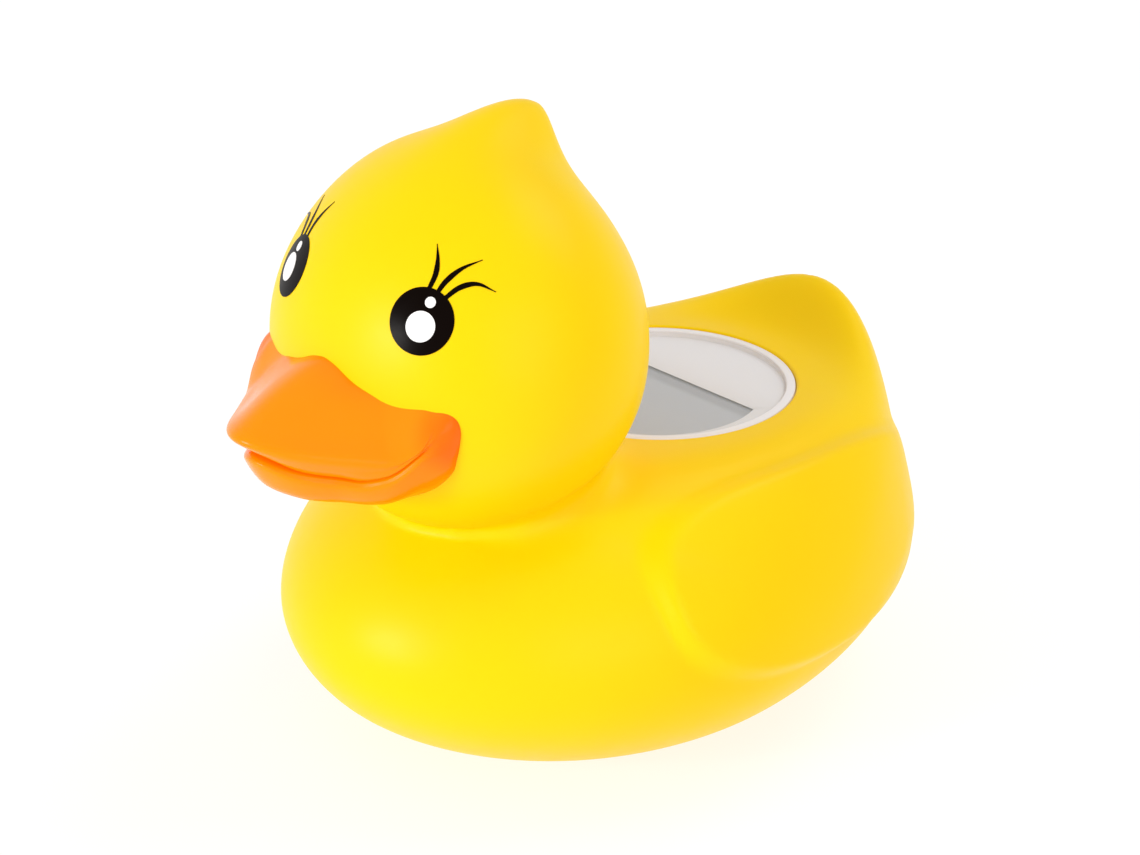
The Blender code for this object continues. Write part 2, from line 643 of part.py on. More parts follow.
def build_display(shop, materials):
    """Stack the panel, its rubber connectors, the circuit board and its screws under the bezel."""
    shop.window(
        "lcd_panel", WINDOW_RADIUS + LCD_MARGIN, WINDOW_FRONT + LCD_MARGIN,
        WINDOW_REAR + LCD_MARGIN, LCD_Z, LCD_TOP,
        on_module=True, material=materials["lcd"])
    inward = LCD_MARGIN - CONNECTOR_WIDTH / 2
    for index, y in enumerate((WINDOW_REAR + inward, -WINDOW_FRONT - inward), start=1):
        shop.box(
            f"display_connector_{index}",
            (-CONNECTOR_LENGTH / 2, y - CONNECTOR_WIDTH / 2, CONNECTOR_Z),
            (CONNECTOR_LENGTH / 2, y + CONNECTOR_WIDTH / 2, CONNECTOR_TOP),
            on_module=True, material=materials["rubber"])
    board = shop.cylinder(
        "circuit_board", BOARD_RADIUS, BOARD_Z, BOARD_TOP,
        on_module=True, material=materials["board"])
    for index, (x, y) in enumerate(boss_places(), start=1):
        hole = shop.cylinder(
            f"board_hole_{index}", SCREW_HOLE_RADIUS, BOARD_Z - MM, BOARD_TOP + MM,
            x=x, y=y, segments=SCREW_STEPS, cutter=True, on_module=True)
        combine(board, hole, "DIFFERENCE")
        add_screw(shop, f"board_screw_{index}", x, y, BOARD_UNDERSIDE,
                  BOARD_SCREW_LENGTH, materials["steel"])
    shop.turned("controller_chip", [
        (0.0, BOARD_UNDERSIDE),
        (CHIP_RADIUS, BOARD_UNDERSIDE),
        (0.85 * CHIP_RADIUS, BOARD_UNDERSIDE - 0.7 * CHIP_HEIGHT),
        (0.5 * CHIP_RADIUS, BOARD_UNDERSIDE - CHIP_HEIGHT),
        (0.0, BOARD_UNDERSIDE - CHIP_HEIGHT),
    ], steps=PROBE_STEPS, on_module=True, material=materials["epoxy"])


def add_screw(shop, name, x, y, seat, length, material):
    """Stand a pan-head screw with its shank up and its head below the seat."""
    shop.turned(name, [
        (0.0, seat + length),
        (0.6 * SCREW_RADIUS, seat + length),
        (SCREW_RADIUS, seat + length - 0.8 * SCREW_RADIUS),
        (SCREW_RADIUS, seat),
        (SCREW_HEAD_RADIUS, seat),
        (SCREW_HEAD_RADIUS, seat - 0.6 * SCREW_HEAD_HEIGHT),
        (0.6 * SCREW_HEAD_RADIUS, seat - SCREW_HEAD_HEIGHT),
        (0.0, seat - SCREW_HEAD_HEIGHT),
    ], steps=SCREW_STEPS, x=x, y=y, on_module=True, material=material)


def ring_section(radius, height, section, sides=6):
    """List a round section, down its outer side, for a ring."""
    angles = [math.pi / 2 - math.tau * i / sides for i in range(sides)]
    return [(radius + section * math.cos(a), height + section * math.sin(a)) for a in angles]


def build_housing(shop, white, rubber):
    """Mould the module's barrel with its flange, nose, cell pocket and screw posts."""
    ring = (BORE_RADIUS + FLANGE_RADIUS) / 2
    groove = SEAL_RADIUS + RUNNING_GAP
    groove_z = FLANGE_TOP - 2 * SEAL_RADIUS - RUNNING_GAP
    housing = shop.turned("module_housing", [
        (0.0, BARREL_FLOOR_TOP),
        (BORE_RADIUS, BARREL_FLOOR_TOP),
        (BORE_RADIUS, FLANGE_TOP),
        (ring - groove, FLANGE_TOP),
        (ring - groove, groove_z),
        (ring + groove, groove_z),
        (ring + groove, FLANGE_TOP),
        (FLANGE_RADIUS, FLANGE_TOP),
        (FLANGE_RADIUS, FLANGE_Z),
        (BARREL_RADIUS, FLANGE_Z),
        (BARREL_RADIUS, BARREL_Z + BARREL_CHAMFER),
        (BARREL_RADIUS - BARREL_CHAMFER, BARREL_Z),
        (0.0, BARREL_Z),
    ], on_module=True, material=white)
    shop.turned("bezel_seal", ring_section(ring, FLANGE_TOP - SEAL_RADIUS, SEAL_RADIUS),
                closed=True, on_module=True, material=rubber)

    def join(name, radius, low, high, x=0.0, y=0.0, segments=TURN_STEPS):
        tool = shop.cylinder(name, radius, low, high, x=x, y=y, segments=segments,
                             cutter=True, on_module=True, material=white)
        combine(housing, tool, "UNION")

    def cut(name, radius, low, high, x=0.0, y=0.0, segments=TURN_STEPS):
        tool = shop.cylinder(name, radius, low, high, x=x, y=y, segments=segments,
                             cutter=True, on_module=True)
        combine(housing, tool, "DIFFERENCE")

    inside = BARREL_Z + BARREL_FLOOR / 2
    join("nose_wall", NOSE_RADIUS, NOSE_TIP_Z, inside, y=-NOSE_OFFSET)
    cut("nose_hollow", NOSE_RADIUS - NOSE_WALL, NOSE_TIP_Z + NOSE_END, BARREL_FLOOR_TOP + MM,
        y=-NOSE_OFFSET)
    cut("probe_hole", PROBE_HOLE_RADIUS, 0.0, NOSE_TIP_Z + NOSE_END + MM,
        y=-NOSE_OFFSET, segments=PROBE_STEPS)
    join("pocket_wall", POCKET_RADIUS + POCKET_WALL, inside, POCKET_ROOF, y=CELL_OFFSET)
    cut("cell_pocket", POCKET_RADIUS, BARREL_Z - MM, POCKET_TOP, y=CELL_OFFSET)
    for index, side in enumerate((-1, 1), start=1):
        cut(f"contact_hole_{index}", WATER_CONTACT_RADIUS + RUNNING_GAP, 0.0,
            NOSE_TIP_Z + NOSE_END + MM, x=side * WATER_CONTACT_SPACING / 2,
            y=-NOSE_OFFSET, segments=SCREW_STEPS)
        shank_top = COVER_Z - RUNNING_GAP + COVER_SCREW_LENGTH
        join(f"cover_post_{index}", SCREW_HOLE_RADIUS + POST_WALL, inside,
             shank_top + RUNNING_GAP + POST_WALL,
             x=side * COVER_SCREW_X, y=CELL_OFFSET, segments=SCREW_STEPS)
        cut(f"cover_pilot_{index}", SCREW_HOLE_RADIUS, BARREL_Z - MM, shank_top + RUNNING_GAP,
            x=side * COVER_SCREW_X, y=CELL_OFFSET, segments=SCREW_STEPS)
    half = CONTACT_TAIL_WIDTH / 2 + RUNNING_GAP
    slots = (("upper_tail_slot", FRONT_TAIL_Y - RUNNING_GAP, FRONT_TAIL_Y, POCKET_TOP - MM),
             ("lower_tail_slot", CELL_OFFSET + CELL_RADIUS, REAR_TAIL_Y, BARREL_Z - MM))
    for name, front, tail_y, low in slots:
        slot = shop.box(name, (-half, front, low),
                        (half, tail_y + CONTACT_THICKNESS + RUNNING_GAP, POCKET_ROOF + MM),
                        cutter=True, on_module=True)
        combine(housing, slot, "DIFFERENCE")
    groove_tool = shop.turned("cover_seal_groove", [
        (COVER_SEAL_RING + COVER_SEAL_RADIUS + RUNNING_GAP, BARREL_Z + 2 * COVER_SEAL_RADIUS),
        (COVER_SEAL_RING + COVER_SEAL_RADIUS + RUNNING_GAP, BARREL_Z - MM),
        (COVER_SEAL_RING - COVER_SEAL_RADIUS - RUNNING_GAP, BARREL_Z - MM),
        (COVER_SEAL_RING - COVER_SEAL_RADIUS - RUNNING_GAP, BARREL_Z + 2 * COVER_SEAL_RADIUS),
    ], closed=True, y=CELL_OFFSET, cutter=True, on_module=True)
    combine(housing, groove_tool, "DIFFERENCE")
    return housing


def build_battery(shop, materials):
    """Fit the coin cell, its two contacts, the cover with its seal, and the cover screws."""
    shop.turned("battery_cell", [
        (0.0, CELL_Z + CELL_THICKNESS),
        (CELL_RADIUS - 1.2 * MM, CELL_Z + CELL_THICKNESS),
        (CELL_RADIUS - 1.2 * MM, CELL_Z + CELL_THICKNESS - 0.3 * MM),
        (CELL_RADIUS, CELL_Z + CELL_THICKNESS - 0.3 * MM),
        (CELL_RADIUS, CELL_Z + 0.3 * MM),
        (CELL_RADIUS - 0.3 * MM, CELL_Z),
        (0.0, CELL_Z),
    ], y=CELL_OFFSET, on_module=True, material=materials["steel"])
    half = CONTACT_TAIL_WIDTH / 2
    places = (("battery_contact_upper", UPPER_CONTACT_Z, FRONT_TAIL_Y),
              ("battery_contact_lower", LOWER_CONTACT_Z, REAR_TAIL_Y))
    for name, z, tail_y in places:
        plate = shop.cylinder(name, CONTACT_RADIUS, z, z + CONTACT_THICKNESS, y=CELL_OFFSET,
                              segments=DISC_STEPS, on_module=True, material=materials["spring"])
        strip = shop.box(f"{name}_strip", (-half, CELL_OFFSET, z),
                         (half, tail_y + CONTACT_THICKNESS, z + CONTACT_THICKNESS),
                         cutter=True, on_module=True, material=materials["spring"])
        tail = shop.box(f"{name}_tail", (-half, tail_y, z),
                        (half, tail_y + CONTACT_THICKNESS, TAIL_TOP),
                        cutter=True, on_module=True, material=materials["spring"])
        combine(plate, strip, "UNION")
        combine(plate, tail, "UNION")

    cover = shop.cylinder("battery_cover", COVER_RADIUS, COVER_Z, COVER_TOP, y=CELL_OFFSET,
                          on_module=True, material=materials["white"])
    for index, side in enumerate((-1, 1), start=1):
        ear = shop.cylinder(f"cover_ear_{index}", COVER_EAR_RADIUS, COVER_Z, COVER_TOP,
                            x=side * COVER_SCREW_X, y=CELL_OFFSET, segments=DISC_STEPS,
                            cutter=True, on_module=True, material=materials["white"])
        combine(cover, ear, "UNION")
        hole = shop.cylinder(f"cover_hole_{index}", SCREW_HOLE_RADIUS, COVER_Z - MM,
                             COVER_TOP + MM, x=side * COVER_SCREW_X, y=CELL_OFFSET,
                             segments=SCREW_STEPS, cutter=True, on_module=True)
        combine(cover, hole, "DIFFERENCE")
        add_screw(shop, f"cover_screw_{index}", side * COVER_SCREW_X, CELL_OFFSET,
                  COVER_Z - RUNNING_GAP, COVER_SCREW_LENGTH, materials["steel"])
    shop.turned("cover_seal", ring_section(COVER_SEAL_RING, BARREL_Z + COVER_SEAL_RADIUS / 2,
                                           COVER_SEAL_RADIUS * 0.9),
                closed=True, y=CELL_OFFSET, on_module=True, material=materials["rubber"])


def build_nose(shop, materials):
    """Fit the steel probe cap, the thermistor inside it and the two water contacts."""
    top = PROBE_TIP_Z + PROBE_LENGTH
    bore = PROBE_RADIUS - PROBE_WALL
    dome = 0.6 * PROBE_RADIUS
    floor = PROBE_TIP_Z + PROBE_WALL
    shop.turned("probe_cap", [
        (0.0, floor),
        (bore - 0.5 * dome, floor),
        (bore, floor + 0.5 * dome),
        (bore, top),
        (PROBE_RADIUS, top),
        (PROBE_RADIUS, PROBE_TIP_Z + 0.5 * dome),
        (PROBE_RADIUS - 0.5 * dome, PROBE_TIP_Z),
        (0.0, PROBE_TIP_Z),
    ], steps=DISC_STEPS, y=-NOSE_OFFSET, on_module=True, material=materials["steel"])
    bead = floor + RUNNING_GAP
    shop.turned("thermistor", [
        (0.0, bead + THERMISTOR_LENGTH),
        (0.6 * THERMISTOR_RADIUS, bead + THERMISTOR_LENGTH),
        (THERMISTOR_RADIUS, bead + 0.75 * THERMISTOR_LENGTH),
        (THERMISTOR_RADIUS, bead + 0.35 * THERMISTOR_LENGTH),
        (0.5 * THERMISTOR_RADIUS, bead),
        (0.0, bead),
    ], steps=PIN_STEPS, y=-NOSE_OFFSET, on_module=True, material=materials["epoxy"])
    for index, side in enumerate((-1, 1), start=1):
        shop.turned(f"water_contact_{index}", [
            (0.0, PROBE_TIP_Z + WATER_CONTACT_LENGTH),
            (WATER_CONTACT_RADIUS, PROBE_TIP_Z + WATER_CONTACT_LENGTH),
            (WATER_CONTACT_RADIUS, PROBE_TIP_Z + 0.3 * MM),
            (WATER_CONTACT_RADIUS - 0.3 * MM, PROBE_TIP_Z),
            (0.0, PROBE_TIP_Z),
        ], steps=PIN_STEPS, x=side * WATER_CONTACT_SPACING / 2, y=-NOSE_OFFSET,
            on_module=True, material=materials["steel"])


def build_leads(shop, materials):
    """Run the insulated leads from the cell, the thermistor and the water contacts to the board."""
    start = PROBE_TIP_Z + PROBE_WALL + 2 * RUNNING_GAP + THERMISTOR_LENGTH + LEAD_RADIUS
    pin_top = PROBE_TIP_Z + WATER_CONTACT_LENGTH + RUNNING_GAP
    board = BOARD_UNDERSIDE
    middle = (BARREL_FLOOR_TOP + board) / 2
    for index, side in enumerate((-1, 1), start=1):
        inner = side * (LEAD_RADIUS + RUNNING_GAP / 2)
        pin = side * WATER_CONTACT_SPACING / 2
        shop.lead(f"sensor_lead_{index}", [
            (inner, -NOSE_OFFSET, start),
            (inner, -NOSE_OFFSET, BARREL_FLOOR_TOP),
            (3.0 * inner, -NOSE_OFFSET + LEAD_SWAY / 2, middle),
            (4.0 * inner, -NOSE_OFFSET + LEAD_SWAY, board),
        ], materials["red_lead"])
        shop.lead(f"contact_lead_{index}", [
            (pin, -NOSE_OFFSET, pin_top),
            (pin, -NOSE_OFFSET, BARREL_FLOOR_TOP),
            (pin + side * LEAD_SWAY, -NOSE_OFFSET + 0.6 * LEAD_STEP, middle),
            (pin + side * LEAD_STEP, -NOSE_OFFSET + LEAD_STEP, board),
        ], materials["black_lead"])
    for name, y, side, finish in (("battery_lead_upper", FRONT_TAIL_Y, -1, "black_lead"),
                                  ("battery_lead_lower", REAR_TAIL_Y, 1, "red_lead")):
        tail = y + CONTACT_THICKNESS / 2
        shop.lead(name, [
            (0.0, tail, TAIL_TOP + RUNNING_GAP),
            (0.0, tail - 0.1 * LEAD_STEP, TAIL_TOP + LEAD_STEP),
            (side * 0.6 * LEAD_STEP, tail - LEAD_SWAY / 2, middle + 1.2 * LEAD_STEP),
            (side * LEAD_STEP, tail - LEAD_SWAY, board),
        ], materials[finish])


def main():
    """Build every piece of the thermometer."""
    shop = Workshop()
    materials = {
        "yellow": make_material("yellow_vinyl", (0.98, 0.72, 0.02), 0.45),
        "orange": make_material("orange_paint", (0.98, 0.26, 0.0), 0.4),
        "white": make_material("white_abs", (0.78, 0.78, 0.78), 0.35),
        "clear": make_material("clear_acrylic", (0.9, 0.95, 0.97), 0.05, alpha=0.35),
        "lcd": make_material("lcd_glass", (0.45, 0.46, 0.46), 0.2),
        "rubber": make_material("black_rubber", (0.03, 0.03, 0.03), 0.8),
        "board": make_material("green_board", (0.02, 0.2, 0.06), 0.5),
        "epoxy": make_material("black_epoxy", (0.02, 0.02, 0.02), 0.4),
        "steel": make_material("stainless_steel", (0.6, 0.6, 0.6), 0.3, metallic=1.0),
        "spring": make_material("spring_bronze", (0.7, 0.45, 0.2), 0.35, metallic=1.0),
        "red_lead": make_material("red_insulation", (0.6, 0.03, 0.02), 0.5),
        "black_lead": make_material("black_insulation", (0.02, 0.02, 0.02), 0.5),
    }
    build_shell(shop, materials["yellow"], materials["orange"])
    build_bezel(shop, materials["white"], materials["clear"])
    build_display(shop, materials)
    build_housing(shop, materials["white"], materials["rubber"])
    build_battery(shop, materials)
    build_nose(shop, materials)
    build_leads(shop, materials)


main()
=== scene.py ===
"""Looks of a duck-shaped baby bath thermometer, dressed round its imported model.

Every size is in metres in the model's own frame: the duck looks along -Y and stands on
Z = 0, with +X its left side. New pieces are surfaces worked out with numpy. Angles in
fields are in degrees, and a field named zone holds the start and the span of a rise.
"""

import logging
import math
from collections.abc import Callable
from dataclasses import dataclass, field
from enum import Enum

import bpy
import numpy as np
from mathutils import Matrix, Vector


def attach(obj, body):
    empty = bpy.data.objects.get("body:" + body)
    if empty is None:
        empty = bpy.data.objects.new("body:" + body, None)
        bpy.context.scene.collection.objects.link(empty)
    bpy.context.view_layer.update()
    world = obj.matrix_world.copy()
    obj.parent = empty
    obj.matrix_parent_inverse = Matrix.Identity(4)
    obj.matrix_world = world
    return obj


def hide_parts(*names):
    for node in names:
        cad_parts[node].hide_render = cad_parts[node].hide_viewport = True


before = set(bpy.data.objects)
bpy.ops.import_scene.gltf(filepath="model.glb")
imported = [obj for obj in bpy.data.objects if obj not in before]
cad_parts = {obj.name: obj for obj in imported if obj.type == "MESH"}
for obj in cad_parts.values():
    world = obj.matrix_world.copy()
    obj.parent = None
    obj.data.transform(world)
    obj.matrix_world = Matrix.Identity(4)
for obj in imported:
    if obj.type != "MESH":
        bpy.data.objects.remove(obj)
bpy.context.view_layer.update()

MM = 0.001
LOG = logging.getLogger("bath_duck")

Pair = tuple[float, float]
Triple = tuple[float, float, float]
Colour = tuple[int, int, int]
Profile = list[Pair]
Form = Callable[[np.ndarray], np.ndarray]
Socket = bpy.types.NodeSocket


class Region(Enum):
    """Which part of a closed lattice is pinched to a single point."""

    NONE = "none"
    BOTH_ENDS = "both ends"


class Edges(Enum):
    """How the edges of a piece are shaded, as the sharpest angle that stays smooth."""

    SOFT = 180.0
    MOULDED = 32.0


# Shapes worked out as whole arrays


def smooth_step(t: np.ndarray) -> np.ndarray:
    """Rise from 0 to 1 with level ends: 3 t^2 - 2 t^3."""
    t = np.clip(t, 0.0, 1.0)
    return t * t * (3.0 - 2.0 * t)


def rise(value: np.ndarray, start: float, span: float) -> np.ndarray:
    """Rise from 0 to 1 while a value goes from a start over a span."""
    return smooth_step((value - start) / span)


def lean_vector(degrees: float) -> np.ndarray:
    """Unit vector that leans back from straight up: (0, sin, cos) of the angle."""
    angle = math.radians(degrees)
    return np.array([0.0, math.sin(angle), math.cos(angle)])


def bump(directions: np.ndarray, lean: float, spread: Triple,
         sharpness: float = 2.0) -> np.ndarray:
    """Strength of a pull round one direction: e to the minus (side^2 + along^2)^(sharpness / 2).

    Args:
        directions: Unit directions, one a row.
        lean: Degrees that the middle of the pull leans back from straight up.
        spread: Reach in degrees to the side, to the front and to the back.
        sharpness: 2 gives a bell, less gives a sharper peak.

    Returns:
        One strength from 0 to 1 for each direction.
    """
    lean = math.radians(lean)
    side, front, back = (math.radians(angle) for angle in spread)
    centre = np.array([0.0, math.sin(lean), math.cos(lean)])
    forward = np.array([0.0, -math.cos(lean), math.sin(lean)])
    facing = directions @ centre
    safe = np.maximum(facing, 1e-3)
    sideways = np.arctan2(directions[:, 0], safe) / side
    along = np.arctan2(directions @ forward, safe)
    along = along / np.where(along > 0.0, front, back)
    reach = (sideways ** 2 + along ** 2) ** (sharpness / 2.0)
    return np.where(facing > 0.02, np.exp(-reach), 0.0)


def curve_through(stations: np.ndarray, t: np.ndarray) -> np.ndarray:
    """Read smooth curves through stations: a Catmull-Rom cubic between each pair.

    Args:
        stations: Array of station, coordinate and column.
        t: Place along the curve from 0 to 1, one for each column.

    Returns:
        One row of coordinates for each column.
    """
    first = 2 * stations[:1] - stations[1:2]
    last = 2 * stations[-1:] - stations[-2:-1]
    knots = np.concatenate([first, stations, last])
    spans = len(stations) - 1
    place = np.clip(t * spans, 0.0, spans - 1e-9)
    index = place.astype(int)
    f = (place - index)[:, None]
    column = np.arange(len(t))
    a, b, c, d = (knots[index + k, :, column] for k in range(4))
    return 0.5 * (2 * b + (c - a) * f + (2 * a - 5 * b + 4 * c - d) * f ** 2
                  + (3 * b - a - 3 * c + d) * f ** 3)


def sphere_directions(segments: int, rings: int, upright: bool) -> np.ndarray:
    """Unit directions of a globe's lattice: poles first and last, then rings from pole to pole.

    Args:
        segments: Steps round the axis.
        rings: Rings between the two poles.
        upright: True puts the poles on Z, False puts them on Y.

    Returns:
        Directions, one a row, with the two poles at the end.
    """
    around = np.linspace(0.0, 2 * math.pi, segments, endpoint=False)
    down = np.linspace(0.0, math.pi, rings + 2)[1:-1]
    turn, fall = np.meshgrid(around, down)
    x, y, z = np.sin(fall) * np.cos(turn), np.sin(fall) * np.sin(turn), np.cos(fall)
    lattice = np.stack([x.ravel(), y.ravel(), z.ravel()], 1)
    lattice = np.concatenate([lattice, [[0.0, 0.0, 1.0], [0.0, 0.0, -1.0]]])
    return lattice if upright else np.stack([lattice[:, 0], lattice[:, 2], lattice[:, 1]], 1)


@dataclass
class Surface:
    """Points and faces of a closed surface."""

    points: np.ndarray
    faces: list[list[int]]

    @classmethod
    def from_lattice(cls, points: np.ndarray, rows: int, columns: int, region: Region,
                     wrap_rows: bool = False) -> "Surface":
        """Join a lattice whose columns always meet round the back.

        Args:
            points: Points row by row, then the first and last pole where there are poles.
            rows: Rings in the lattice.
            columns: Points in each ring.
            region: Which ends are pinched to a point.
            wrap_rows: True joins the last ring to the first.

        Returns:
            The surface, with its faces turned outwards.
        """
        row = np.arange(rows if wrap_rows else rows - 1)
        column = np.arange(columns)
        low, left = np.meshgrid(row, column, indexing="ij")
        high, right = (low + 1) % rows, (left + 1) % columns
        quads = np.stack([low * columns + left, low * columns + right,
                          high * columns + right, high * columns + left], -1)
        faces = quads.reshape(-1, 4).tolist()
        if region is Region.BOTH_ENDS:
            top = rows * columns
            beside = (column + 1) % columns
            first = np.stack([np.full(columns, top), beside, column], 1)
            base = (rows - 1) * columns
            last = np.stack([np.full(columns, top + 1), base + column, base + beside], 1)
            faces += first.tolist() + last.tolist()
        return cls(points, faces).outward()

    @classmethod
    def globe(cls, form: Form, segments: int, rings: int, upright: bool = True) -> "Surface":
        """Map a globe's directions to points with a form.

        Args:
            form: Maps unit directions to points.
            segments: Steps round the axis.
            rings: Rings between the poles.
            upright: True puts the poles on Z, False puts them on Y.

        Returns:
            The closed surface.
        """
        points = form(sphere_directions(segments, rings, upright))
        return cls.from_lattice(points, rings, segments, Region.BOTH_ENDS)

    @classmethod
    def turned(cls, profile: Profile, steps: int = 128, x: float = 0.0,
               y: float = 0.0, closed: bool = False) -> "Surface":
        """Turn a profile round an upright axis: (r cos a, r sin a, z).

        Args:
            profile: Radius and height of each point; a radius of 0 at an end is a pole.
            steps: Steps round the axis.
            x: Place of the axis.
            y: Place of the axis.
            closed: True for a ring, whose profile closes on itself.

        Returns:
            The closed surface.
        """
        angle = np.linspace(0.0, 2 * math.pi, steps, endpoint=False)
        section = np.array(profile)
        ends = section[[0, -1]]
        if not closed:
            section = section[1:-1]
        radius, height = section[:, 0][:, None], section[:, 1][:, None]
        points = np.stack([x + radius * np.cos(angle), y + radius * np.sin(angle),
                           height + 0 * angle], -1).reshape(-1, 3)
        region = Region.NONE
        if not closed:
            poles = [[x, y, ends[0, 1]], [x, y, ends[1, 1]]]
            points = np.concatenate([points, poles])
            region = Region.BOTH_ENDS
        return cls.from_lattice(points, len(section), steps, region, wrap_rows=closed)

    def outward(self) -> "Surface":
        """Turn the faces over if the volume that they close is negative.

        Returns:
            The surface itself.
        """
        fan = [(f[0], f[k], f[k + 1]) for f in self.faces for k in range(1, len(f) - 1)]
        a, b, c = (self.points[index] for index in np.array(fan).T)
        if np.einsum("ij,ij->i", a, np.cross(b, c)).sum() < 0:
            self.faces = [face[::-1] for face in self.faces]
        return self

    def mesh(self, name: str) -> bpy.types.Mesh:
        """Put the points and faces into a mesh.

        Args:
            name: The mesh's name.

        Returns:
            The mesh.
        """
        mesh = bpy.data.meshes.new(name)
        mesh.from_pydata(self.points.tolist(), [], self.faces)
        return mesh

    def __add__(self, other: "Surface") -> "Surface":
        """Keep two surfaces side by side as one.

        Args:
            other: The second surface, whose faces count on from the first one's points.

        Returns:
            Both as one surface.
        """
        shift = len(self.points)
        moved = [[index + shift for index in face] for face in other.faces]
        return Surface(np.concatenate([self.points, other.points]), self.faces + moved)


# Finishes


# Places of the colour sockets on Blender's mix node
COLOUR_A, COLOUR_B, COLOUR_RESULT = 6, 7, 2


def connect(tree: bpy.types.NodeTree, node: bpy.types.Node, inputs: dict) -> None:
    """Link or set inputs of a node.

    Args:
        tree: The tree that the node is in.
        node: The node.
        inputs: Sockets by name or number, each with an output to link or a value to set.
    """
    for place, value in inputs.items():
        if isinstance(value, Socket):
            tree.links.new(value, node.inputs[place])
        else:
            node.inputs[place].default_value = value


def add_node(tree: bpy.types.NodeTree, kind: str, inputs: dict, **settings: str) -> bpy.types.Node:
    """Add a node with its settings and inputs.

    Args:
        tree: The tree to add it to.
        kind: Blender's name for the node.
        inputs: What connect is to link or set.
        settings: Attributes of the node.

    Returns:
        The node.
    """
    node = tree.nodes.new(kind)
    for name, value in settings.items():
        setattr(node, name, value)
    connect(tree, node, inputs)
    return node


class Bench:
    """Lays out the nodes of one material."""

    def __init__(self, name: str) -> None:
        """Start a material with its shader and object coordinates.

        Args:
            name: The material's name.
        """
        self.material = bpy.data.materials.new(name)
        self.material.use_nodes = True
        self.tree = self.material.node_tree
        self.shader = self.tree.nodes["Principled BSDF"]
        self.place = self.add("ShaderNodeTexCoord", {}).outputs["Object"]

    def add(self, kind: str, inputs: dict, **settings: str) -> bpy.types.Node:
        """Add a node to the material, as add_node does."""
        return add_node(self.tree, kind, inputs, **settings)

    def set(self, **values: object) -> None:
        """Link or set sockets of the shader, named with underscores for spaces."""
        named = {name.replace("_", " "): value for name, value in values.items()}
        connect(self.tree, self.shader, named)

    def noise(self, scale: float, detail: float = 3.0, roughness: float = 0.5) -> Socket:
        """Lay out noise over the object's coordinates.

        Args:
            scale: Grains a metre.
            detail: Octaves.
            roughness: Strength of each finer octave.

        Returns:
            The value output.
        """
        return self.add("ShaderNodeTexNoise", {
            "Vector": self.place, "Scale": scale, "Detail": detail, "Roughness": roughness,
        }).outputs["Fac"]

    def ramp(self, value: Socket, stops: list[tuple[float, Triple]]) -> Socket:
        """Map a value to colours.

        Args:
            value: The output to read.
            stops: Places from 0 to 1, each with its linear colour.

        Returns:
            The ramp's colour output.
        """
        node = self.add("ShaderNodeValToRGB", {"Fac": value})
        ramp = node.color_ramp
        for index, (place, colour) in enumerate(stops):
            stop = ramp.elements[index] if index < 2 else ramp.elements.new(place)
            stop.position = place
            stop.color = (*colour, 1.0)
        return node.outputs["Color"]

    def range(self, value: Socket, low: float, high: float) -> Socket:
        """Map a value from 0..1 to low..high; returns the result output."""
        return self.add("ShaderNodeMapRange", {"Value": value, "To Min": low,
                                               "To Max": high}).outputs["Result"]

    def blend(self, value: Socket, start: float, end: float, colour: Socket,
              other: Triple) -> Socket:
        """Pass smoothly from a colour output to a fixed colour as a value goes to its end.

        Args:
            value: The output to read.
            start: Value at which the first colour is whole.
            end: Value at which the other colour is whole.
            colour: The first colour's output.
            other: The other colour, linear.

        Returns:
            The mixed colour output.
        """
        share = self.add("ShaderNodeMapRange", {
            "Value": value, "From Min": start, "From Max": end,
        }, interpolation_type="SMOOTHSTEP").outputs["Result"]
        return self.add("ShaderNodeMix", {
            "Factor": share, COLOUR_A: colour, COLOUR_B: (*other, 1.0),
        }, data_type="RGBA").outputs[COLOUR_RESULT]

    def relief(self, value: Socket, depth: float) -> None:
        """Raise and sink the surface by a value, depth in metres."""
        node = self.add("ShaderNodeBump", {"Distance": depth, "Strength": 1.0, "Height": value})
        self.set(Normal=node.outputs["Normal"])


def linear(red: int, green: int, blue: int) -> Triple:
    """Turn a colour as it shows into linear light, by the standard curve of screens.

    Args:
        red: Red from 0 to 255.
        green: Green from 0 to 255.
        blue: Blue from 0 to 255.

    Returns:
        The three shares of light from 0 to 1.
    """
    shown = np.array([red, green, blue]) / 255
    value = np.where(shown <= 0.04045, shown / 12.92, ((shown + 0.055) / 1.055) ** 2.4)
    return tuple(float(v) for v in value)


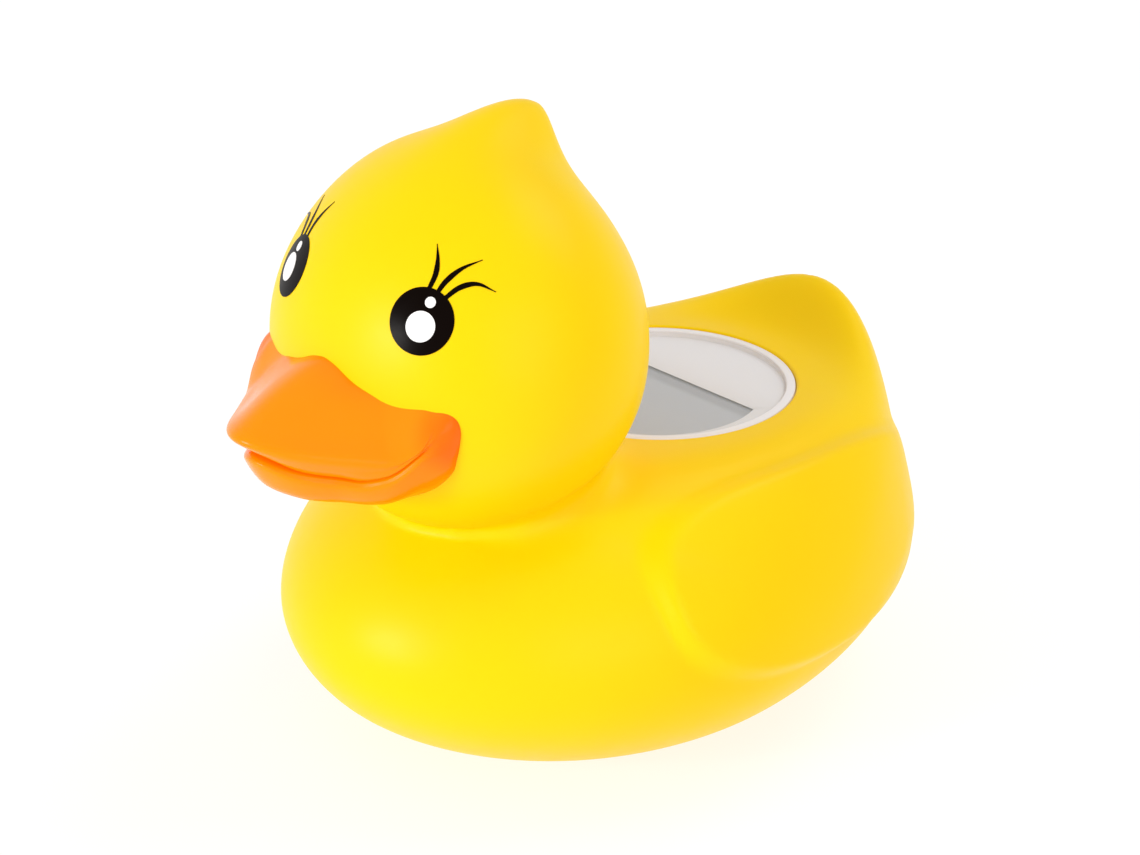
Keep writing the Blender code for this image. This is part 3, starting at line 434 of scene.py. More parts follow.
@dataclass(frozen=True)
class MouldedFinish:
    """A moulded or painted surface: slow drift of colour, fine drift of gloss, faint grain."""

    name: str
    colour: Colour
    drift: Colour
    roughness: float = 0.4
    roughness_drift: float = 0.06
    grain: float = 900.0
    grain_depth: float = 0.00001
    cloud: float = 25.0
    speckle: float = 12.0
    drift_span: Pair = (0.35, 0.7)
    specular: float = 0.5
    subsurface: float = 0.0
    subsurface_radius: Triple = (0.002, 0.001, 0.0003)
    coat: float = 0.0
    coat_roughness: float = 0.1
    metallic: float = 0.0
    alpha: float = 1.0

    def tone(self, bench: Bench) -> Socket:
        """Drift slowly between the two colours; returns the colour output."""
        colours = zip(self.drift_span, (linear(*self.colour), linear(*self.drift)))
        return bench.ramp(bench.noise(self.cloud, 2.0), list(colours))

    def make(self) -> bpy.types.Material:
        """Lay out the material.

        Returns:
            The material, with noise in its colour, its roughness and its relief.
        """
        bench = Bench(self.name)
        spread = bench.range(bench.noise(self.cloud * self.speckle, 4.0),
                             self.roughness - self.roughness_drift,
                             self.roughness + self.roughness_drift)
        bench.relief(bench.noise(self.grain, 5.0, 0.6), self.grain_depth)
        bench.set(Base_Color=self.tone(bench), Roughness=spread, Metallic=self.metallic,
                  Specular_IOR_Level=self.specular, Alpha=self.alpha,
                  Subsurface_Weight=self.subsurface, Subsurface_Scale=1.0,
                  Subsurface_Radius=self.subsurface_radius, Coat_Weight=self.coat,
                  Coat_Roughness=self.coat_roughness)
        return bench.material


@dataclass(frozen=True)
class BillFinish(MouldedFinish):
    """Orange paint with painted shade: a deeper orange near the bill's corners, where shade and
    bounced light gather.
    """

    # painted shade: a deeper orange that stands for the shade in the bill's corners, not a colour
    # of the paint
    painted_corner_shade: Colour = (252, 112, 0)
    corner: Triple = (22.8 * MM, 43.4 * MM, 68.4 * MM)
    near: float = 2.5 * MM
    far: float = 8.0 * MM

    def tone(self, bench: Bench) -> Socket:
        """Mix in the painted corner shade by the distance from the nearer corner.

        Args:
            bench: The material's bench.

        Returns:
            The colour output.
        """
        mirrored = bench.add("ShaderNodeVectorMath", {0: bench.place}, operation="ABSOLUTE")
        distance = bench.add("ShaderNodeVectorMath", {0: mirrored.outputs[0], 1: self.corner},
                             operation="DISTANCE")
        return bench.blend(distance.outputs["Value"], self.far, self.near,
                           super().tone(bench), linear(*self.painted_corner_shade))


@dataclass(frozen=True)
class DisplayFinish(MouldedFinish):
    """A blank display behind glass, with painted shadow under the window's rear edge and round its
    rim.
    """

    # painted shadow: a grey that stands for the bevel's shadow on the panel and the shade round
    # its rim; rear and rim give where it falls
    painted_shadow: Colour = (146, 146, 150)
    centre_y: float = 19.4 * MM
    rear: Pair = (22.2 * MM, 24.2 * MM)
    rim: Pair = (16.6 * MM, 17.1 * MM)

    def tone(self, bench: Bench) -> Socket:
        """Mix in the painted shadow along the rear edge and near the round rim.

        Args:
            bench: The material's bench.

        Returns:
            The colour output.
        """
        split = bench.add("ShaderNodeSeparateXYZ", {0: bench.place})
        painted_shadow = linear(*self.painted_shadow)
        toned = bench.blend(split.outputs["Y"], *self.rear, super().tone(bench), painted_shadow)
        flat = bench.add("ShaderNodeVectorMath", {
            0: bench.place, 1: (1.0, 1.0, 0.0), 2: (0.0, -self.centre_y, 0.0),
        }, operation="MULTIPLY_ADD")
        reach = bench.add("ShaderNodeVectorMath", {0: flat.outputs[0]}, operation="LENGTH")
        return bench.blend(reach.outputs["Value"], *self.rim, toned, painted_shadow)


VINYL = MouldedFinish("yellow_vinyl", (252, 207, 0), (252, 210, 1), roughness=0.38,
                      subsurface=0.1, specular=0.12, grain_depth=0.000006)
# the bill's orange paint, with painted shade towards its corners
BILL_PAINT = BillFinish("orange_paint", (250, 138, 0), (251, 142, 0), roughness=0.2,
                        roughness_drift=0.03, subsurface=0.06, specular=0.14,
                        grain_depth=0.000004)
BLACK_INK = MouldedFinish("black_ink", (9, 3, 1), (12, 5, 3), roughness=0.24,
                          specular=0.03, grain_depth=0.000003)
WHITE_INK = MouldedFinish("white_ink", (252, 247, 244), (250, 246, 243), roughness=0.3,
                          grain_depth=0.000003)
WHITE_ABS = MouldedFinish("white_abs", (236, 232, 234), (232, 228, 230), roughness=0.38)
# the blank panel, with painted shadow along its rear edge and round its rim
LCD_GLASS = DisplayFinish("lcd_panel", (174, 175, 180), (171, 172, 177), roughness=0.3,
                          grain=3000.0, grain_depth=0.000002)
CLEAR_LENS = MouldedFinish("clear_lens", (245, 248, 250), (243, 247, 250), roughness=0.06,
                           roughness_drift=0.02, alpha=0.12, grain_depth=0.000001)
SEAL_RUBBER = MouldedFinish("seal_rubber", (36, 36, 37), (46, 46, 47), roughness=0.7)
BOARD_MASK = MouldedFinish("board_mask", (12, 92, 46), (18, 112, 58), roughness=0.35,
                           cloud=300.0, coat=0.3)
EPOXY = MouldedFinish("epoxy", (24, 24, 26), (32, 32, 34), roughness=0.25)
STEEL = MouldedFinish("bright_steel", (190, 191, 194), (176, 178, 182), roughness=0.26,
                      metallic=1.0, cloud=150.0, grain=2500.0, grain_depth=0.000003)
BRONZE = MouldedFinish("spring_bronze", (214, 170, 98), (198, 150, 84), roughness=0.3,
                       metallic=1.0, cloud=150.0)
RED_SLEEVE = MouldedFinish("red_sleeve", (180, 30, 26), (164, 24, 22), roughness=0.45)
BLACK_SLEEVE = MouldedFinish("black_sleeve", (30, 30, 31), (40, 40, 41), roughness=0.45)


class Wardrobe:
    """Makes each finish's material once."""

    def __init__(self) -> None:
        """Start with no materials made."""
        self.made: dict[str, bpy.types.Material] = {}

    def get(self, finish: MouldedFinish) -> bpy.types.Material:
        """Return the material of a finish, made the first time that it is asked for.

        Args:
            finish: The finish.

        Returns:
            Its material.
        """
        if finish.name not in self.made:
            self.made[finish.name] = finish.make()
        return self.made[finish.name]


WARDROBE = Wardrobe()


def show(shape: Surface | bpy.types.Mesh, name: str, finish: MouldedFinish,
         nodes: tuple[str, ...], edges: Edges = Edges.MOULDED) -> None:
    """Make a surface or a mesh a finished piece of the thermometer.

    Args:
        shape: The shape, placed in the model's frame.
        name: The piece's name.
        finish: What it is made of.
        nodes: CAD nodes that it stands for.
        edges: How its edges are shaded.
    """
    mesh = shape.mesh(name) if isinstance(shape, Surface) else shape
    mesh.shade_smooth()
    if edges is not Edges.SOFT:
        mesh.set_sharp_from_angle(angle=math.radians(edges.value))
    mesh.materials.clear()
    mesh.materials.append(WARDROBE.get(finish))
    piece = bpy.data.objects.new(name, mesh)
    bpy.context.scene.collection.objects.link(piece)
    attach(piece, "root")
    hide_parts(*nodes)
    LOG.info("%s: %d faces", name, len(mesh.polygons))


def settle(item: bpy.types.Object) -> bpy.types.Mesh:
    """Apply an object's modifiers and remove the object.

    Args:
        item: The helper object.

    Returns:
        Its final mesh.
    """
    graph = bpy.context.evaluated_depsgraph_get()
    mesh = bpy.data.meshes.new_from_object(item.evaluated_get(graph))
    bpy.data.objects.remove(item, do_unlink=True)
    return mesh


def loose(mesh: bpy.types.Mesh, name: str) -> bpy.types.Object:
    """Link a mesh as a helper object.

    Args:
        mesh: The mesh.
        name: The object's name.

    Returns:
        The object.
    """
    item = bpy.data.objects.new(name, mesh)
    bpy.context.scene.collection.objects.link(item)
    return item


def combine(mesh: bpy.types.Mesh, tools: list[tuple[str, Surface]]) -> bpy.types.Mesh:
    """Join or cut a mesh with closed surfaces, one after another.

    Args:
        mesh: The mesh to work on.
        tools: Each operation, UNION or DIFFERENCE, with its surface.

    Returns:
        The new mesh.
    """
    item = loose(mesh, "work")
    helpers = []
    for index, (operation, surface) in enumerate(tools):
        helper = loose(surface.mesh(f"tool_{index}"), f"tool_{index}")
        helpers.append(helper)
        step = item.modifiers.new(f"step_{index}", "BOOLEAN")
        step.operation = operation
        step.solver = "EXACT"
        step.object = helper
    result = settle(item)
    for helper in helpers:
        bpy.data.objects.remove(helper, do_unlink=True)
    return result


# The duck


@dataclass
class BodyForm:
    """The body with its tail, back deck, wings and flat foot."""

    front: float = 54.8 * MM
    rear: float = 62.1 * MM
    half_width: float = 46.2 * MM
    up: float = 30.6 * MM
    down: float = 27.5 * MM
    y: float = 4.0 * MM
    z: float = 24.2 * MM
    fullness: float = 1.9
    foot_blend: float = 1.0 * MM
    tail_rise: float = 38.9
    tail_spread: float = 35.9
    tail_thickness: float = 16.3
    tail_back: float = 5.4 * MM
    tail_up: float = 20.7 * MM
    deck_y: float = 19.4 * MM
    deck_z: float = 51.55 * MM
    deck_radius: float = 26.0 * MM
    deck_blend: float = 46.0 * MM
    wing_y: float = 18.05 * MM
    wing_z: float = 34.9 * MM
    wing_length: float = 66.9 * MM
    wing_depth: float = 27.3 * MM
    wing_tilt: float = -1.56
    wing_rise: float = 2.1 * MM
    wing_squareness: float = 2.46
    wing_edge: float = 0.042
    wing_upper_edge: float = 0.1
    wing_rear_edge: float = 0.5
    wing_lower_edge: float = 0.13
    wing_upper_zone: Pair = (-0.1, 0.9)
    wing_lower_zone: Pair = (0.2, 0.7)
    wing_rear_zone: Pair = (0.0, 0.9)
    wing_side_zone: Pair = (0.05, 0.25)

    def wing_mask(self, points: np.ndarray, directions: np.ndarray) -> np.ndarray:
        """1 on the wings and 0 off them: a tilted super-ellipse seen from the side.

        Args:
            points: Points of the body.
            directions: Their unit directions.

        Returns:
            One share from 0 to 1 for each point.
        """
        tilt = math.radians(self.wing_tilt)
        y = points[:, 1] - self.wing_y
        z = points[:, 2] - self.wing_z
        along = (y * math.cos(tilt) + z * math.sin(tilt)) / (self.wing_length / 2)
        across = (z * math.cos(tilt) - y * math.sin(tilt)) / (self.wing_depth / 2)
        power = self.wing_squareness
        reach = (np.abs(along) ** power + np.abs(across) ** power) ** (1 / power)
        upper = rise(across, *self.wing_upper_zone)
        edge = self.wing_edge + (self.wing_upper_edge - self.wing_edge) * upper
        lower = rise(-across, *self.wing_lower_zone)
        edge += (self.wing_lower_edge - self.wing_edge) * lower
        rear = rise(along, *self.wing_rear_zone) * (1.0 - upper)
        edge += (self.wing_rear_edge - self.wing_edge) * rear
        pad = 1.0 - rise(reach, 1 - edge, 2 * edge)
        return pad * rise(np.abs(directions[:, 0]), *self.wing_side_zone)

    def __call__(self, directions: np.ndarray) -> np.ndarray:
        """Place the body's points.

        A super-ellipsoid with its own length to the front and rear and its own height up and
        down; a pull draws out the tail; the back is levelled round the seat; the wings are
        raised along the outward normal; the belly runs into a flat foot, (z + b)^2 / 4b.

        Args:
            directions: Unit directions, one a row.

        Returns:
            The body's points, one a row.
        """
        reach = (np.abs(directions) ** self.fullness).sum(1) ** (1 / self.fullness)
        unit = directions / reach[:, None]
        length = np.where(unit[:, 1] > 0, self.rear, self.front)
        height = np.where(unit[:, 2] > 0, self.up, self.down)
        points = np.stack([unit[:, 0] * self.half_width, unit[:, 1] * length,
                           unit[:, 2] * height], 1)
        spread = (self.tail_spread, self.tail_thickness, self.tail_thickness)
        tail = bump(directions, 90.0 - self.tail_rise, spread)
        points += tail[:, None] * np.array([0.0, self.tail_back, self.tail_up])
        points += np.array([0.0, self.y, self.z])

        distance = np.hypot(points[:, 0], points[:, 1] - self.deck_y)
        off_deck = rise(distance, self.deck_radius, self.deck_blend - self.deck_radius)
        levelled = self.deck_z + (points[:, 2] - self.deck_z) * off_deck
        points[:, 2] = np.where(directions[:, 2] > 0, levelled, points[:, 2])

        sizes = np.array([self.half_width, self.rear, self.up])
        outward = (points - np.array([0.0, self.y, self.z])) / sizes ** 2
        outward /= np.linalg.norm(outward, axis=1)[:, None]
        points += (self.wing_rise * self.wing_mask(points, directions))[:, None] * outward

        z = points[:, 2]
        blend = self.foot_blend
        rounded = (z + blend) ** 2 / (4 * blend)
        points[:, 2] = np.where(z > blend, z, np.where(z < -blend, 0.0, rounded))
        return points


@dataclass
class HeadForm:
    """The head: an egg with a wide brow drawn up and a crest that leans back."""

    half_width: float = 32.8 * MM
    half_length: float = 27.25 * MM
    half_height: float = 29.2 * MM
    y: float = -23.2 * MM
    z: float = 70.7 * MM
    chin_narrowing: float = 0.105
    nape_inset: float = 3.9 * MM
    nape_top: float = 0.5
    brow_lean: float = 9.4
    brow_rise: float = 4.2 * MM
    brow_draw: float = 11.5
    brow_spread: Triple = (60.7, 47.4, 46.0)
    crest_lean: float = 26.4
    crest_rise: float = 6.5 * MM
    crest_draw: float = 31.2
    crest_spread: Triple = (11.6, 27.0, 9.05)
    crest_sharpness: float = 1.81

    def __call__(self, directions: np.ndarray) -> np.ndarray:
        """Place the head's points: an ellipsoid narrowed at the chin, with two pulls on top.

        Args:
            directions: Unit directions, one a row.

        Returns:
            The head's points, one a row.
        """
        points = directions * np.array([self.half_width, self.half_length, self.half_height])
        points[:, 0] *= 1 - self.chin_narrowing * smooth_step(-directions[:, 2])
        nape = smooth_step(directions[:, 1]) * smooth_step(self.nape_top - directions[:, 2])
        points[:, 1] -= self.nape_inset * nape
        brow = bump(directions, self.brow_lean, self.brow_spread)
        points += (self.brow_rise * brow)[:, None] * lean_vector(self.brow_draw)
        crest = bump(directions, self.crest_lean, self.crest_spread, self.crest_sharpness)
        points += (self.crest_rise * crest)[:, None] * lean_vector(self.crest_draw)
        return points + np.array([0.0, self.y, self.z])


@dataclass
class BillForm:
    """The bill: a section from top to bottom, fanned round an upright axis in the face."""

    y: float = -42.7 * MM
    half_width: float = 22.45 * MM
    reach: float = 22.3 * MM
    root: float = 12.0 * MM
    roundness: float = 1.026
    flare: float = -1.45 * MM
    flare_spread: float = 13.0
    front_blend: float = 8.0
    side_blend: float = 8.0
    top_z: float = 76.66 * MM
    bottom_z: float = 53.6 * MM
    rim_z: float = 64.64 * MM
    tip_lift: float = 3.1 * MM
    tip_spread: float = 29.5
    corner_lift: float = 5.37 * MM
    corner_start: float = 60.2
    corner_sink: float = 1.0 * MM
    round_start: float = 73.0
    round_span: float = 17.0
    lip: float = 1.6 * MM
    drop: float = 4.3 * MM
    corner_drop: float = 1.0 * MM
    drop_start: float = 45.0
    drop_span: float = 35.0
    roll: float = 2.9 * MM
    tip_roll: float = 1.9 * MM
    tip_inset: float = 0.5 * MM
    tip_drop: float = 0.7 * MM
    tip_width: float = 14.0
    parting_start: float = 34.0
    parting_span: float = 40.0
    line_depth: float = 0.5 * MM
    line_end: float = 84.0
    line_fade: float = 11.0
    lower_inset: float = 2.5 * MM
    saddle: Pair = (0.32, 0.62)
    top_front: Triple = (0.901, 0.624, 0.055)
    top_side: Triple = (0.695, 0.679, 0.161)
    tip_raise: float = 0.015
    side_start: float = 19.2
    chin_fullness: float = 2.85
    chin_lean: float = 0.24
    chin_angles: tuple[float, ...] = (18.0, 36.0, 54.0, 72.0)
    lip_crown: Pair = (1.6, 0.95)
    roll_shares: Pair = (0.32, 0.85)
    line_edge: float = 0.4 * MM
    lower_edge: float = 0.25 * MM
    corner_power: float = 0.8
    corner_height: float = 1 / 0.866
    corner_angles: tuple[float, ...] = (48.0, 36.0, 24.0, 12.0, 0.0)
    corner_falls: tuple[Pair, Pair] = ((0.985, 0.3), (0.95, 0.64))

    def outline(self, turn: np.ndarray) -> np.ndarray:
        """Distance from the bill's axis to its rim.

        A super-ellipse with its own length in front and behind, whose point in front and
        corners at the sides are rounded by a short hyperbola, less a dip at the tip.

        Args:
            turn: Angle from straight ahead, in radians.

        Returns:
            One distance for each angle.
        """
        length = np.where(turn < math.pi / 2, self.reach, self.root)
        front = math.radians(self.front_blend)
        side = math.sin(math.radians(self.side_blend))
        across = np.abs(np.sin(np.hypot(turn, front) - front)) / self.half_width
        along = (np.hypot(np.cos(turn), side) - side) / length
        rim = (across ** self.roundness + along ** self.roundness) ** (-1 / self.roundness)
        return rim + self.flare * np.exp(-(turn / math.radians(self.flare_spread)) ** 2)

    def stations(self, turn: np.ndarray) -> np.ndarray:
        """Points of each section: the saddle, the rolled lip, the mouth and the round chin.

        Chin and corners are super-ellipses, cos^p out and sin^p up or down. Towards the
        corners the lip and the mouth line pass into a plain rounded side.

        Args:
            turn: Angle from straight ahead, in radians.

        Returns:
            Array of station, coordinate (out, up) and angle.
        """
        def past(start: float, span: float) -> np.ndarray:
            """Go from 0 to 1 over a span of degrees."""
            return rise(turn, math.radians(start), math.radians(span))

        reach = self.outline(turn)
        front = math.radians(self.front_blend)
        tip = np.exp((front - np.hypot(turn, front)) / math.radians(self.tip_spread))
        corner = past(self.corner_start, 90.0 - self.corner_start)
        rim = self.rim_z + self.tip_lift * tip + self.corner_lift * corner
        parted = 1 - past(self.parting_start, self.parting_span)
        line = 1 - past(self.line_end - self.line_fade, self.line_fade)
        drop = self.drop + (self.corner_drop - self.drop) * past(self.drop_start, self.drop_span)
        nub = np.exp(-(turn / math.radians(self.tip_width)) ** 2)
        drop -= self.tip_drop * nub
        mouth_z = rim - drop
        side = past(self.side_start, 90.0 - self.side_start)
        near, middle, far = (ahead + (beside - ahead) * side
                             for ahead, beside in zip(self.top_front, self.top_side))
        root = self.top_z - rim
        roll = (self.roll + self.tip_roll * nub) * parted
        lower = reach - (self.lower_inset + self.tip_inset * nub) * parted
        chin_z = mouth_z - self.lip
        chin = []
        power = 2 / self.chin_fullness
        for angle in map(math.radians, self.chin_angles):
            out = lower * math.cos(angle) ** power * (1 - self.chin_lean * math.sin(angle))
            chin.append((out, chin_z - (chin_z - self.bottom_z) * math.sin(angle) ** power))
        shoulder = rim + middle * root
        lip_out, lip_up = (share * self.lip for share in self.lip_crown)
        upper, inner = (reach - share * roll for share in self.roll_shares)
        lipped = np.array([
            (reach - lip_out, rim + lip_up + far * root),
            (reach, rim),
            (upper, rim - 0.5 * drop),
            (inner, mouth_z + self.line_edge),
            (reach - roll - self.line_depth * line, mouth_z),
            (lower - self.lower_edge * parted, mouth_z - self.line_edge),
            (lower, chin_z),
        ])
        swell = rim - self.corner_sink
        height = (shoulder - swell) * self.corner_height
        fall = swell - chin[0][1]
        power = self.corner_power
        plain = [(reach * math.cos(angle) ** power, swell + height * math.sin(angle) ** power)
                 for angle in map(math.radians, self.corner_angles)]
        plain += [(share * reach, swell - part * fall) for share, part in self.corner_falls]
        rounded = past(self.round_start, self.round_span)
        side_wall = lipped + (np.array(plain) - lipped) * rounded
        root_share, shoulder_share = self.saddle
        level = np.ones_like(turn)
        return np.array([
            (0 * level, self.top_z * level),
            (root_share * reach, rim + (near + self.tip_raise * tip) * root),
            (shoulder_share * reach, shoulder),
            *side_wall,
            *chin,
            (0 * level, self.bottom_z * level),
        ])

    def __call__(self, directions: np.ndarray) -> np.ndarray:
        """Place the bill's points: each direction's turn picks a section, its fall a place.

        Args:
            directions: Unit directions, one a row.

        Returns:
            The bill's points, one a row.
        """
        around = np.arctan2(directions[:, 0], -directions[:, 1])
        down = np.arccos(np.clip(directions[:, 2], -1, 1)) / math.pi
        section = curve_through(self.stations(np.abs(around)), down)
        out, height = section[:, 0], section[:, 1]
        return np.stack([out * np.sin(around), self.y - out * np.cos(around), height], 1)


@dataclass
class Seat:
    """The stepped seat in the back that the module drops into, and the hole for its nose."""

    y: float = 19.4 * MM
    deck_z: float = 51.55 * MM
    radius: float = 23.15 * MM
    lip: float = 0.5 * MM
    floor_z: float = 45.15 * MM
    hole_radius: float = 21.3 * MM
    collar_z: float = 42.65 * MM
    collar_wall: float = 2.6 * MM
    nose_y: float = 6.8 * MM
    nose_radius: float = 6.3 * MM
    nose_lip: float = 0.4 * MM
    nose_collar_wall: float = 2.6 * MM
    nose_collar_top: float = 7.5 * MM
    wall: float = 2.5 * MM
    clearance: float = 4 * MM
    lip_start: float = 82.0
    lip_steps: int = 8
    lip_spare: float = 0.02 * MM

    def lip_curve(self, radius: float, z: float, size: float, sign: float) -> Profile:
        """Round an edge with a quarter circle: radius + s - s cos a out, s - s sin a in.

        Args:
            radius: Radius of the hole.
            z: Height of the face that the hole opens in.
            size: Radius of the rounding.
            sign: 1 for an upper face, -1 for a lower one.

        Returns:
            Points from the face down into the hole.
        """
        angle = np.linspace(math.radians(self.lip_start), 0.0, self.lip_steps)
        across = radius + size - size * np.cos(angle)
        height = z - sign * size * (1 - np.sin(angle))
        return list(zip(across.tolist(), height.tolist()))

    def bore(self) -> Surface:
        """The space that the module takes, with a rounded lip at the deck.

        Returns:
            The closed cutter.
        """
        edge = self.lip_curve(self.radius, self.deck_z, self.lip, 1.0)
        top = self.deck_z + self.clearance
        profile = [(0.0, top), (edge[0][0] + self.lip_spare, top), *edge,
                   (self.radius, self.floor_z), (self.hole_radius, self.floor_z),
                   (self.hole_radius, self.collar_z - self.wall),
                   (0.0, self.collar_z - self.wall)]
        return Surface.turned(profile, y=self.y)

    def nose_bore(self) -> Surface:
        """The hole for the nose, with a rounded lip under the belly.

        Returns:
            The closed cutter.
        """
        edge = self.lip_curve(self.nose_radius, 0.0, self.nose_lip, -1.0)
        low = -self.clearance
        profile = [(0.0, low), (edge[0][0] + self.lip_spare, low), *edge,
                   (self.nose_radius, self.nose_collar_top + self.wall),
                   (0.0, self.nose_collar_top + self.wall)]
        return Surface.turned(profile, y=self.nose_y, steps=96)

    def collar(self) -> Surface:
        """The thick ring of vinyl round the seat, as a solid that the hollow leaves out.

        Returns:
            The closed solid.
        """
        radius = self.radius + self.collar_wall
        top = self.deck_z - self.wall / 2
        return Surface.turned([(0.0, top), (radius, top), (radius, self.collar_z),
                               (0.0, self.collar_z)], y=self.y, steps=96)

    def nose_collar(self) -> Surface:
        """The thick ring of vinyl round the nose hole, made as the seat's is.

        Returns:
            The closed solid.
        """
        radius = self.nose_radius + self.nose_collar_wall
        return Surface.turned([(0.0, self.nose_collar_top), (radius, self.nose_collar_top),
                               (radius, self.wall / 2), (0.0, self.wall / 2)],
                              y=self.nose_y, steps=64)


@dataclass
class Duck:
    """The one-piece vinyl duck with its painted bill and eyes."""

    body: BodyForm = field(default_factory=BodyForm)
    head: HeadForm = field(default_factory=HeadForm)
    bill: BillForm = field(default_factory=BillForm)
    seat: Seat = field(default_factory=Seat)
    body_lattice: tuple[int, int] = (300, 200)
    head_lattice: tuple[int, int] = (240, 180)
    bill_lattice: tuple[int, int] = (300, 240)
    body_core: tuple[int, int] = (26, 17)
    head_core: tuple[int, int] = (20, 13)
    body_samples: tuple[int, int] = (150, 100)
    head_samples: tuple[int, int] = (120, 90)
    voxel: float = 0.8 * MM
    neck_low: float = 40 * MM
    neck_high: float = 78 * MM
    neck_rear: float = 22 * MM
    neck_margin: float = 4 * MM
    crease_front: float = 1.4 * MM
    crease_passes: int = 16
    fillet_reach: float = 8.0 * MM
    fillet_passes: int = 140
    fillet_turn: Pair = (55.0, 60.0)
    crease_core: float = 0.5 * MM
    averaging: float = 0.8

    def skin(self) -> bpy.types.Mesh:
        """Join body and head in one even skin and soften the neck.

        Returns:
            The outer skin's mesh.
        """
        outer = (Surface.globe(self.body, *self.body_lattice, upright=False)
                 + Surface.globe(self.head, *self.head_lattice))
        source = loose(outer.mesh("source"), "source")
        item = loose(outer.mesh("skin"), "skin")
        cells = item.modifiers.new("cells", "REMESH")
        cells.mode = "VOXEL"
        cells.voxel_size = self.voxel
        snap = item.modifiers.new("snap", "SHRINKWRAP")
        snap.wrap_method = "NEAREST_SURFACEPOINT"
        snap.target = source
        mesh = settle(item)
        bpy.data.objects.remove(source, do_unlink=True)
        self.soften_neck(mesh)
        return mesh

    def soften_neck(self, mesh: bpy.types.Mesh) -> None:
        """Average points with their neighbours where body and head meet.

        A few passes round the crease all the way; then many passes with a long reach widen
        it at the sides and back, where the photo shows a soft hollow.

        Args:
            mesh: The skin, whose points are moved.
        """
        count = len(mesh.vertices)
        points = np.empty(count * 3)
        mesh.vertices.foreach_get("co", points)
        points = points.reshape(-1, 3)
        zone = np.nonzero((points[:, 2] > self.neck_low) & (points[:, 2] < self.neck_high)
                          & (points[:, 1] < self.neck_rear))[0]
        near = points[zone]
        margin = self.neck_margin
        body = self.body(sphere_directions(*self.body_samples, upright=False))
        body = body[(body[:, 2] > self.neck_low - margin)
                    & (body[:, 1] < self.neck_rear + margin)]
        head = self.head(sphere_directions(*self.head_samples, upright=True))
        head = head[head[:, 2] < self.neck_high + margin]
        gap = np.maximum(self.distance(near, body), self.distance(near, head))
        around = np.arctan2(np.abs(near[:, 0]), -(near[:, 1] - self.head.y))
        open_side = rise(around, *map(math.radians, self.fillet_turn))
        edges = np.empty(len(mesh.edges) * 2, dtype=int)
        mesh.edges.foreach_get("vertices", edges)
        edges = edges.reshape(-1, 2)
        stages = ((self.crease_front, self.crease_passes, 1.0),
                  (self.fillet_reach, self.fillet_passes, open_side))
        for reach, passes, strength in stages:
            share = np.zeros(count)
            share[zone] = strength * (1 - rise(gap, self.crease_core, reach))
            points = self.averaged(points, edges[(share[edges] > 0).any(1)], share, passes)
        mesh.vertices.foreach_set("co", points.ravel())
        mesh.update()

    def averaged(self, points: np.ndarray, edges: np.ndarray, share: np.ndarray,
                 passes: int) -> np.ndarray:
        """Move points towards the mean of their neighbours.

        Args:
            points: Points of the mesh.
            edges: The edges that are followed.
            share: How far each point moves, from 0 to 1.
            passes: How often they move.

        Returns:
            The moved points.
        """
        ends = np.concatenate([edges[:, 0], edges[:, 1]])
        others = np.concatenate([edges[:, 1], edges[:, 0]])
        count = len(points)
        degree = np.maximum(np.bincount(ends, minlength=count), 1)[:, None]
        for _ in range(passes):
            total = np.stack([np.bincount(ends, points[others, axis], minlength=count)
                              for axis in range(3)], 1)
            points = points + self.averaging * share[:, None] * (total / degree - points)
        return points

    @staticmethod
    def distance(points: np.ndarray, samples: np.ndarray) -> np.ndarray:
        """Distance from each point to the nearest sample, |p|^2 + |s|^2 - 2 p s, in blocks.

        Args:
            points: Points, one a row.
            samples: Samples, one a row.

        Returns:
            One distance for each point.
        """
        block_size = 400
        blocks = np.array_split(points, max(1, len(points) // block_size))
        squares = (samples ** 2).sum(1)
        nearest = [((block ** 2).sum(1)[:, None] + squares - 2 * block @ samples.T).min(1)
                   for block in blocks]
        return np.sqrt(np.maximum(np.concatenate(nearest), 0.0))

    def hollow(self, form: Form, segments: int, rings: int, upright: bool) -> Surface:
        """Set a form in by the wall along its normals.

        Args:
            form: The outer form.
            segments: Steps round the axis.
            rings: Rings between the poles.
            upright: True puts the poles on Z.

        Returns:
            The inner surface.
        """
        surface = Surface.globe(form, segments, rings, upright)
        mesh = surface.mesh("inner")
        normals = np.empty(len(mesh.vertices) * 3)
        mesh.vertex_normals.foreach_get("vector", normals)
        bpy.data.meshes.remove(mesh)
        surface.points = surface.points - self.seat.wall * normals.reshape(-1, 3)
        return surface

    def build(self) -> None:
        """Build the skin and the bill."""
        mesh = self.skin()
        inner = self.hollow(self.body, *self.body_core, False).mesh("hollow")
        inner = combine(inner, [("UNION", self.hollow(self.head, *self.head_core, True)),
                                ("DIFFERENCE", self.seat.collar()),
                                ("DIFFERENCE", self.seat.nose_collar())])
        cut = self.surface_of(inner)
        mesh = combine(mesh, [("DIFFERENCE", cut), ("DIFFERENCE", self.seat.bore()),
                              ("DIFFERENCE", self.seat.nose_bore())])
        show(mesh, "duck_skin", VINYL, ("duck_shell",))
        show(Surface.globe(self.bill, *self.bill_lattice), "painted_bill", BILL_PAINT,
             ("duck_shell",), Edges.SOFT)

    @staticmethod
    def surface_of(mesh: bpy.types.Mesh) -> Surface:
        """Read a mesh back as a surface.

        Args:
            mesh: The mesh.

        Returns:
            Its points and faces.
        """
        points = np.empty(len(mesh.vertices) * 3)
        mesh.vertices.foreach_get("co", points)
        return Surface(points.reshape(-1, 3), [list(face.vertices) for face in mesh.polygons])


